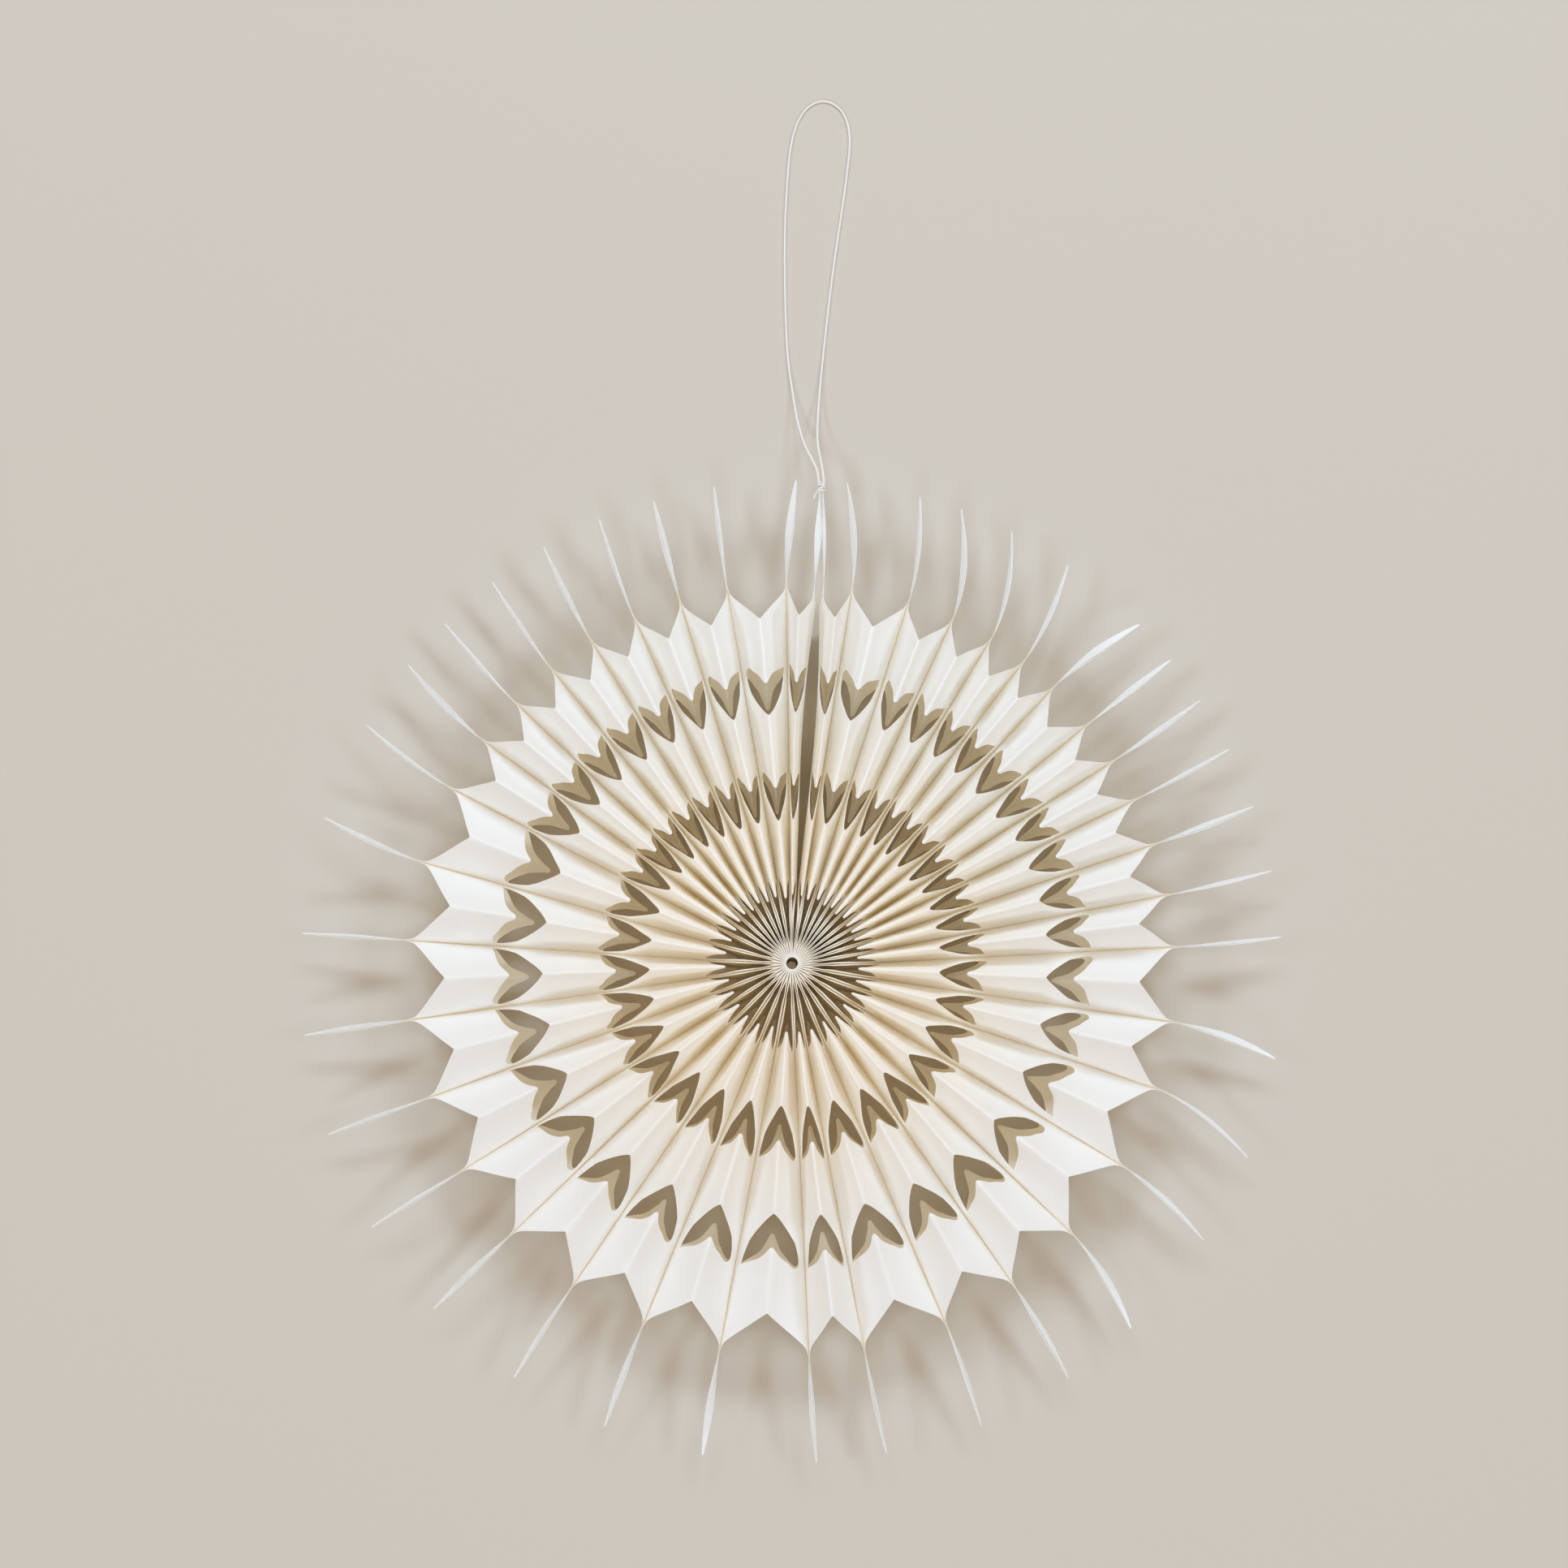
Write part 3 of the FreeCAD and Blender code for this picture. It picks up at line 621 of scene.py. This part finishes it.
class Pattern:
    """Both side sheets of a leaf, joined along the folds: side (+1 clockwise), w, r and triangles."""

    def __init__(self, seed, cut):
        rng = random.Random(seed)
        steps = [[rng.uniform(-1.1, 0.4) for _ in CUSPS] for _ in range(2)] + [rng.uniform(0, 6)]
        self.curl = [[rng.uniform(-1.2, 1.6) for _ in CUSPS] for _ in range(2)]
        side, w, r, tris = [], [], [], []
        index = {}
        for s in (1, -1):
            verts, faces = side_pattern(cut, s, rng, steps)
            ids = np.zeros(len(verts), int)
            for k, (vw, vr) in enumerate(verts):
                key = None
                if vw < 1e-4 or vw > LEAF_DEPTH - 1e-4:
                    key = (round(vw), round(vr, 3))
                if key is not None and key in index:
                    ids[k] = index[key]
                    continue
                ids[k] = len(w)
                if key is not None:
                    index[key] = ids[k]
                side.append(s)
                w.append(vw)
                r.append(vr)
            faces = ids[faces]
            tris.append(faces if s > 0 else faces[:, ::-1])
        self.side, self.w, self.r = np.array(side), np.array(w), np.array(r)
        self.tris = np.concatenate(tris)
        directed = np.concatenate([self.tris[:, [0, 1]], self.tris[:, [1, 2]], self.tris[:, [2, 0]]])
        forward = directed[:, 0] * len(w) + directed[:, 1]
        backward = directed[:, 1] * len(w) + directed[:, 0]
        self.rim = directed[~np.isin(forward, backward)]


# ---------------------------------------------------------------- how a sheet bends between its folds
class Profile:
    """Section of a sheet from a fold to the glued strip, for every angle of its chord below
    horizontal: round at the fold, straight, then turning upright where it is glued."""

    STEPS = 400

    def __init__(self, fold_radius, glue_turn, glue_reach):
        self.low, self.high, self.count = math.radians(20), math.radians(93), 147
        angles = np.linspace(self.low, self.high, self.count)[:, None]
        w = (np.arange(self.STEPS) + 0.5) / self.STEPS * PANEL
        straight = angles.copy()
        for _ in range(12):
            slope = straight * (1 - np.exp(-w / fold_radius))
            slope = slope + (math.pi / 2 - straight) * glue_turn * np.exp(-(PANEL - w) / glue_reach)
            end = np.arctan2(np.sin(slope).sum(1), np.cos(slope).sum(1))[:, None]
            straight = straight + (angles - end)
        x = np.concatenate([np.zeros((self.count, 1)), np.cumsum(np.cos(slope), 1)], 1)
        y = np.concatenate([np.zeros((self.count, 1)), np.cumsum(np.sin(slope), 1)], 1)
        length = np.hypot(x[:, -1:], y[:, -1:])
        self.x, self.y = x / length, y / length

    def at(self, angle, share):
        i = np.clip((angle - self.low) / (self.high - self.low) * (self.count - 1), 0, self.count - 1.001)
        j = np.clip(share * self.STEPS, 0, self.STEPS - 0.001)
        i0, j0 = i.astype(int), j.astype(int)
        fi, fj = i - i0, j - j0
        def look(table):
            low = table[i0, j0] * (1 - fj) + table[i0, j0 + 1] * fj
            high = table[i0 + 1, j0] * (1 - fj) + table[i0 + 1, j0 + 1] * fj
            return low * (1 - fi) + high * fi
        return look(self.x), look(self.y)


TIGHT = Profile(0.22, 0.3, 1.2)
OPEN = Profile(0.5, 0.72, 2.3)


def dot(a, b):
    return (a * b).sum(-1, keepdims=True)


def leaf_points(number, pattern, rng):
    """Outer face of a leaf's paper for every point of its pattern."""
    left, right = LINES[number], LINES[number + 1]
    side, w, r = pattern.side, pattern.w, pattern.r
    ends = np.array([HUB_RADIUS, NECK])
    along = (left.at(ends) + right.at(ends)) / 2
    along = unit(along[1] - along[0])
    normal = unit(np.cross((right.at(ends) - left.at(ends))[1], along))
    middle = (left.at(r) + right.at(r)) / 2
    width = right.at(r) - left.at(r)
    half = np.linalg.norm(width, axis=1) / 2
    across = unit(width)
    up = unit(UP + (normal - UP) * np.minimum(1, r / HUB_STRAIGHT)[:, None])
    height = HALF_STRIP + np.sqrt(np.maximum(1.0, PANEL ** 2 - half ** 2))
    own = np.where(side[:, None] > 0, right.at(r), left.at(r))
    own_up = np.where(side[:, None] > 0, right.upright(r), left.upright(r))
    inward = across * -side[:, None]
    square = np.cross(inward, up)
    own_up = unit(own_up - square * dot(own_up, square))
    face = own + inward * HALF_FILM
    hind = w > HALF_DEPTH
    from_fold = np.where(hind, LEAF_DEPTH - w, w)
    sign = np.where(hind, -1.0, 1.0)[:, None]
    fold = middle + up * height[:, None] * sign
    glued = face + own_up * HALF_STRIP * sign
    out, down = across * side[:, None], up * -sign
    chord = glued - fold
    flat, drop = dot(chord, out)[:, 0], dot(chord, down)[:, 0]
    rest = chord - out * flat[:, None] - down * drop[:, None]
    length, angle = np.hypot(flat, drop), np.arctan2(drop, flat)
    share = np.clip(from_fold / PANEL, 0, 1)
    tight, open_ = TIGHT.at(angle, share), OPEN.at(angle, share)
    far = smoothstep((r - ROUND_FROM) / ROUND_IN)
    x = (tight[0] * (1 - far) + open_[0] * far) * length
    y = (tight[1] * (1 - far) + open_[1] * far) * length
    # near the hub the sheets of neighbouring leaves lie against each other, below the folds
    pressed = smoothstep((r - PRESS_FROM) / PRESS_IN) * (1 - smoothstep((r - PRESS_UNTIL) / PRESS_OUT))
    pressed *= smoothstep((from_fold - np.maximum(0, (r - 12) / 2)) / (1.0 + 0.06 * r))
    x = x + (flat - x) * np.where(hind, PRESS_BACK, PRESS_FRONT) * pressed
    phase = [rng.uniform(0, 6.28) for _ in range(8)]
    k = np.where(side > 0, 0, 2) + np.where(hind, 4, 0)
    one, two = np.array(phase)[k], np.array(phase)[k + 1]
    bulge = WAVE * np.sin(r / WAVE_RUN + one) + RIPPLE * np.sin(r / RIPPLE_RUN + two) + BULGE
    bulge = np.minimum(1, half / BULGE_FULL) * bulge
    bulge = bulge * 4 * share * (1 - share)      # nothing at both ends of the sheet
    x = x + bulge * np.sin(angle)
    y = y - bulge * np.cos(angle)
    points = fold + out * x[:, None] + down * y[:, None] + rest * share[:, None]
    # free sides at the seam bend evenly from fold to fold
    free = (side > 0) & (right.side != 0) | (side < 0) & (left.side != 0)
    if free.any():
        down_sheet = w / LEAF_DEPTH
        down_line = (r - HUB_RADIUS) / (TIP - HUB_RADIUS)
        gape = SEAM_GAPE / 2 * np.sin(np.pi * np.clip(down_line, 0, 1))
        run = (down_line - GAP_WIDEST) / np.where(down_line < GAP_WIDEST, GAP_INWARD, GAP_OUTWARD)
        closing = 1 - np.clip(1 - run ** 2, GAP_LEAST, 1)
        reach = dot(face - middle, out)[:, 0] + gape * closing * (r > GAP_FROM)
        soft = (middle + out * (reach * np.sin(np.pi * down_sheet) ** SIDE_ROUND)[:, None]
                + up * (height * (1 - 2 * down_sheet))[:, None])
        from_hub = smoothstep((r - 8) / 22)[:, None]
        soft = points + (soft - points) * from_hub
        to_neck = smoothstep((r - SIDE_FREE) / 10 + 1)[:, None]
        points = np.where(free[:, None], soft * (1 - to_neck) + points * to_neck, points)
    # the glued strip
    strip = face + own_up * (HALF_DEPTH - w)[:, None]
    on_strip = np.abs(w - HALF_DEPTH) <= HALF_STRIP + 1e-6
    points = np.where((on_strip & (~free | (r > SIDE_FREE)))[:, None], strip, points)
    # the whisker goes on from it
    tall = HALF_DEPTH - w
    whisker = np.where(side[:, None] > 0, right.whisker(r, tall, -1.0), left.whisker(r, tall, 1.0))
    there = smoothstep((r - NECK + 1.5) / 7)[:, None]
    points = np.where((r > NECK - 1.5)[:, None], points * (1 - there) + whisker * there, points)
    # tips of the paper between the lobes curl a little
    for hindmost, curls in enumerate(pattern.curl):
        for cusp, curl in zip(CUSPS, curls):
            reach = np.clip((cusp + 4.6 - r) / 5.2, 0, 1) ** 2 * (r > cusp - 2.5)
            bend = curl * reach * np.exp(-(from_fold / CURL_REACH) ** 2) * (hind == bool(hindmost))
            points = points + up * sign * (bend * np.minimum(1, half / 6))[:, None]
    return points


def thicken(points, tris, rim, thickness):
    """Closed sheet of paper from its outer face: inner face and cut edges are added."""
    a, b, c = points[tris[:, 0]], points[tris[:, 1]], points[tris[:, 2]]
    face = np.cross(b - a, c - a)
    normal = np.zeros_like(points)
    for k in range(3):
        np.add.at(normal, tris[:, k], face)
    normal = unit(normal + 1e-12)
    count = len(points)
    both = np.concatenate([points, points - normal * thickness[:, None]])
    a, b = rim[:, 0], rim[:, 1]
    walls = np.concatenate([np.stack([b, a, a + count], 1), np.stack([b, a + count, b + count], 1)])
    return both, np.concatenate([tris, tris[:, ::-1] + count, walls])


VALLEY_REACH = 2.2               # of the painted crevice shade beside the glue, which also carries the glue's own slight tint
WARM_FROM, WARM_OUT = 45, 85     # the paper is painted warmer up to there, as painted bounce light among the pressed sheets, and how far that takes to end
UV_SPAN = 200                    # millimetres of paper for one unit of uv
SHEET_APART, LEAF_APART = 60, (7.3, 31.7)    # so that no two sheets have the same grain

patterns = [[Pattern(10 * place + k, cut) for k in range(VARIANTS)] for place, cut in enumerate(CUTS)]
leaves = []
for number in range(LEAVES):
    rng = random.Random(100 + number)
    middle_azimuth = (AZIMUTHS[number] + AZIMUTHS[number + 1]) / 2 % 360
    place = [k for k, cut in enumerate(CUTS) if (middle_azimuth - cut.start) % 360 < cut.reach][0]
    pattern = patterns[place][number % VARIANTS]
    outer = leaf_points(number, pattern, rng)
    swell = EDGE_SWELL * smoothstep((pattern.r - SWELL_FROM) / SWELL_IN)
    swell = swell * (1 - smoothstep((pattern.r - SWELL_UNTIL) / SWELL_OUT))
    points, triangles = thicken(outer, pattern.tris, pattern.rim, PAPER + swell)
    from_fold = np.minimum(pattern.w, LEAF_DEPTH - pattern.w)
    # painted shade of the deep crevice beside the glued strip, together with the glue's own slight tint
    valley = np.exp(-np.maximum(0, PANEL - from_fold) / VALLEY_REACH) * (pattern.r < NECK + 4)
    if number in (0, LEAVES - 1):
        own = pattern.side < 0 if number == 0 else pattern.side > 0
        valley = np.where(own, 0, valley)
    # painted warm bounce light among the sheets, strongest at the hub
    hub = 1 - smoothstep((pattern.r - WARM_FROM) / WARM_OUT)
    uv = np.stack([pattern.w + SHEET_APART * (pattern.side > 0), pattern.r], 1)
    uv = (uv + np.array(LEAF_APART) * number) / UV_SPAN
    # painted warm glow of light coming through the paper, on the inner faces up to the whiskers
    inner = np.concatenate([np.zeros(len(outer)), 1 - smoothstep((pattern.r - WHISKER_BASE) / 5)])
    leaf = make_mesh("paper_leaf_%02d" % (number + 1), points, triangles, np.concatenate([uv, uv]),
                     {"valley": np.concatenate([valley, valley]), "hub": np.concatenate([hub, hub]),
                      "inner": inner})
    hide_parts("leaf_%02d" % (number + 1))
    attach(leaf, "root")
    leaves.append(leaf)


# ---------------------------------------------------------------- materials
def new_material(name):
    material = bpy.data.materials.new(name)
    material.use_nodes = True
    tree = material.node_tree
    tree.nodes.clear()
    return material, tree


def node(tree, kind, **inputs):
    made = tree.nodes.new(kind)
    for key, value in inputs.items():
        made.inputs[key.replace("_", " ")].default_value = value
    return made


def fill(tree, sockets, values):
    """Set or link each socket."""
    for socket, value in zip(sockets, values):
        if hasattr(value, "is_output"):
            tree.links.new(value, socket)
        else:
            socket.default_value = value


def mix_colours(tree, factor, one, two, blend="MIX"):
    made = tree.nodes.new("ShaderNodeMix")
    made.data_type = "RGBA"
    made.blend_type = blend
    fill(tree, (made.inputs[0], made.inputs[6], made.inputs[7]), (factor, one, two))
    return made.outputs[2]


def math_node(tree, operation, one, two):
    made = tree.nodes.new("ShaderNodeMath")
    made.operation = operation
    fill(tree, made.inputs, (one, two))
    return made.outputs[0]


def colour(r, g, b):
    return (r, g, b, 1.0)


THROUGH = 0.38           # share of the light that goes through a sheet
CLOUD_DARK, CLOUD_PALE = colour(0.955, 0.968, 0.977), colour(0.972, 0.983, 0.99)
GRAIN_TINT = colour(0.965, 0.968, 0.968)
# painted crevice shade beside the glue, together with the glue's own slight yellow
GLUE_AND_CREVICE_SHADE_TINT = colour(0.97, 0.87, 0.68)
# painted warm bounce light among the sheets near the hub
HUB_BOUNCE_LIGHT_TINT = colour(0.998, 0.982, 0.94)
# painted warm glow of light through the paper, inside the leaves
INNER_PAINTED_GLOW = colour(0.998, 0.972, 0.905)
GLOW_TINT = colour(1.0, 0.985, 0.95)         # of the light that goes through
COTTON_DARK, COTTON_PALE = colour(0.74, 0.71, 0.65), colour(0.93, 0.91, 0.87)
FLOOR_DARK, FLOOR_PALE = colour(0.575, 0.52, 0.437), colour(0.60, 0.545, 0.46)
FLOOR_CLOUD = colour(0.585, 0.53, 0.44)


def paper_material():
    """White paper that lets light through, with painted warm bounce light near the hub, painted crevice
    shade and the glue's slight tint beside the glue, and a painted warm glow inside the leaves.
    """
    material, tree = new_material("white_paper")
    links = tree.links
    uv = node(tree, "ShaderNodeUVMap")
    uv.uv_map = "flat"
    stretch = tree.nodes.new("ShaderNodeMapping")
    stretch.inputs["Scale"].default_value = (1.0, 0.35, 1.0)
    links.new(uv.outputs[0], stretch.inputs[0])
    fibre = node(tree, "ShaderNodeTexNoise", Scale=420.0, Detail=2.0, Roughness=0.62)
    links.new(stretch.outputs[0], fibre.inputs["Vector"])
    cloud = node(tree, "ShaderNodeTexNoise", Scale=26.0, Detail=2.0, Roughness=0.55)
    links.new(uv.outputs[0], cloud.inputs["Vector"])
    grain = node(tree, "ShaderNodeTexNoise", Scale=150.0, Detail=1.0, Roughness=0.6)
    links.new(uv.outputs[0], grain.inputs["Vector"])
    for noise in (fibre, cloud, grain):
        noise.noise_dimensions = "2D"

    base = mix_colours(tree, cloud.outputs[0], CLOUD_DARK, CLOUD_PALE)
    base = mix_colours(tree, math_node(tree, "MULTIPLY", grain.outputs[0], 0.35), base, GRAIN_TINT)
    valley, hub, inner = [tree.nodes.new("ShaderNodeAttribute") for _ in range(3)]
    valley.attribute_name, hub.attribute_name, inner.attribute_name = "valley", "hub", "inner"
    # painted crevice shade beside the glue, mixed with the glue's own slight tint
    crevice_shade_and_glue = math_node(tree, "MULTIPLY", math_node(tree, "POWER", valley.outputs["Fac"], 1.6), 0.4)
    base = mix_colours(tree, crevice_shade_and_glue, base, GLUE_AND_CREVICE_SHADE_TINT)
    # painted warm bounce light towards the hub
    base = mix_colours(tree, math_node(tree, "MULTIPLY", hub.outputs["Fac"], 0.9), base, HUB_BOUNCE_LIGHT_TINT)
    # painted warm glow inside the leaves
    base = mix_colours(tree, inner.outputs["Fac"], base, INNER_PAINTED_GLOW)

    bump = node(tree, "ShaderNodeBump", Strength=0.16, Distance=0.00006)
    mixed = math_node(tree, "ADD", fibre.outputs[0], math_node(tree, "MULTIPLY", grain.outputs[0], 0.8))
    links.new(mixed, bump.inputs["Height"])

    paper = node(tree, "ShaderNodeBsdfPrincipled", Roughness=0.85)
    paper.inputs["Specular IOR Level"].default_value = 0.25
    links.new(base, paper.inputs["Base Color"])
    links.new(bump.outputs[0], paper.inputs["Normal"])
    through = tree.nodes.new("ShaderNodeBsdfTranslucent")
    glow = mix_colours(tree, 1.0, base, GLOW_TINT, "MULTIPLY")
    links.new(glow, through.inputs["Color"])
    links.new(bump.outputs[0], through.inputs["Normal"])
    blend = tree.nodes.new("ShaderNodeMixShader")
    blend.inputs[0].default_value = THROUGH
    links.new(paper.outputs[0], blend.inputs[1])
    links.new(through.outputs[0], blend.inputs[2])
    output = tree.nodes.new("ShaderNodeOutputMaterial")
    links.new(blend.outputs[0], output.inputs[0])
    return material


def thread_material():
    """Off-white cotton with fine fibres along its plies."""
    material, tree = new_material("cotton_thread")
    links = tree.links
    uv = node(tree, "ShaderNodeUVMap")
    uv.uv_map = "flat"
    stretch = tree.nodes.new("ShaderNodeMapping")
    stretch.inputs["Scale"].default_value = (9.0, 1.6, 1.0)
    stretch.inputs["Rotation"].default_value = (0, 0, 0.5)
    links.new(uv.outputs[0], stretch.inputs[0])
    fibre = node(tree, "ShaderNodeTexNoise", Scale=3.0, Detail=5.0, Roughness=0.65, Distortion=0.4)
    links.new(stretch.outputs[0], fibre.inputs["Vector"])
    base = mix_colours(tree, fibre.outputs[0], COTTON_DARK, COTTON_PALE)
    bump = node(tree, "ShaderNodeBump", Strength=0.5, Distance=0.00008)
    links.new(fibre.outputs[0], bump.inputs["Height"])
    cotton = node(tree, "ShaderNodeBsdfPrincipled", Roughness=0.8)
    cotton.inputs["Specular IOR Level"].default_value = 0.3
    cotton.inputs["Sheen Weight"].default_value = 0.25
    cotton.inputs["Sheen Roughness"].default_value = 0.4
    links.new(base, cotton.inputs["Base Color"])
    links.new(bump.outputs[0], cotton.inputs["Normal"])
    output = tree.nodes.new("ShaderNodeOutputMaterial")
    links.new(cotton.outputs[0], output.inputs[0])
    return material


def floor_material():
    """Plain pale table, hardly mottled."""
    material, tree = new_material("pale_floor")
    links = tree.links
    place = tree.nodes.new("ShaderNodeTexCoord")
    grain = node(tree, "ShaderNodeTexNoise", Scale=900.0, Detail=2.0, Roughness=0.6)
    cloud = node(tree, "ShaderNodeTexNoise", Scale=3.0, Detail=3.0, Roughness=0.5)
    links.new(place.outputs["Object"], grain.inputs["Vector"])
    links.new(place.outputs["Object"], cloud.inputs["Vector"])
    base = mix_colours(tree, grain.outputs[0], FLOOR_DARK, FLOOR_PALE)
    base = mix_colours(tree, math_node(tree, "MULTIPLY", cloud.outputs[0], 0.3), base, FLOOR_CLOUD)
    ground = node(tree, "ShaderNodeBsdfPrincipled", Roughness=0.8)
    ground.inputs["Specular IOR Level"].default_value = 0.2
    links.new(base, ground.inputs["Base Color"])
    output = tree.nodes.new("ShaderNodeOutputMaterial")
    links.new(ground.outputs[0], output.inputs[0])
    return material


paper = paper_material()
for leaf in leaves:
    leaf.data.materials.append(paper)
cotton = thread_material()
thread.data.materials.append(cotton)
knot.data.materials.append(cotton)

# ---------------------------------------------------------------- floor and light
FLOOR_RADIUS = 2.5       # metres
floor_mesh = bpy.data.meshes.new("floor")
rim = [heading(azimuth) * FLOOR_RADIUS for azimuth in range(0, -360, -5)]    # so that it faces up
floor_mesh.from_pydata(rim, [], [tuple(range(len(rim)))])
floor = bpy.data.objects.new("floor", floor_mesh)
bpy.context.scene.collection.objects.link(floor)
floor_mesh.materials.append(floor_material())

PALE_HORIZON = colour(0.56, 0.525, 0.475)    # as the floor looks
WARM_OVERHEAD = colour(0.47, 0.287, 0.127)
world = bpy.data.worlds.new("studio")
bpy.context.scene.world = world
world.use_nodes = True
sky = world.node_tree
direction = sky.nodes.new("ShaderNodeTexCoord")
parts = sky.nodes.new("ShaderNodeSeparateXYZ")
sky.links.new(direction.outputs["Generated"], parts.inputs[0])
rise = node(sky, "ShaderNodeMapRange", From_Min=0.0, From_Max=0.25)
sky.links.new(parts.outputs["Z"], rise.inputs["Value"])
dome = mix_colours(sky, rise.outputs[0], PALE_HORIZON, WARM_OVERHEAD)
sky.links.new(dome, sky.nodes["Background"].inputs["Color"])


COOL = (0.575, 0.785, 1.02)      # with the warm light from overhead, this makes white
BOXES = [(-14, 16), (22, 16), (88, 15), (181, 19), (272, 15)]    # azimuth and power
BOX_ELEVATION, BOX_DISTANCE, BOX_SIZE = 42, 2.4, (0.8, 0.5)
BOUNCES = 30                     # light goes to and fro many times between the white sheets


def soft_box(name, azimuth, elevation, distance, size, power):
    light = bpy.data.lights.new(name, "AREA")
    light.shape = "RECTANGLE"
    light.size, light.size_y = size
    light.energy = power
    light.color = COOL
    holder = bpy.data.objects.new(name, light)
    level = math.cos(math.radians(elevation))
    direction = heading(azimuth) * level + UP * math.sin(math.radians(elevation))
    holder.location = Vector(direction * distance)
    holder.rotation_mode = "QUATERNION"
    holder.rotation_quaternion = Vector(-direction).to_track_quat("-Z", "Y")
    bpy.context.scene.collection.objects.link(holder)


for number, (azimuth, power) in enumerate(BOXES):
    soft_box("box_%d" % number, azimuth, BOX_ELEVATION, BOX_DISTANCE, BOX_SIZE, power)
soft_box("box_above", azimuth=0, elevation=88, distance=2.6, size=(1.2, 1.2), power=5)

view = bpy.context.scene.view_settings
view.view_transform = "Standard"
view.look = "None"
paths = bpy.context.scene.cycles
paths.max_bounces = paths.diffuse_bounces = paths.transmission_bounces = BOUNCES
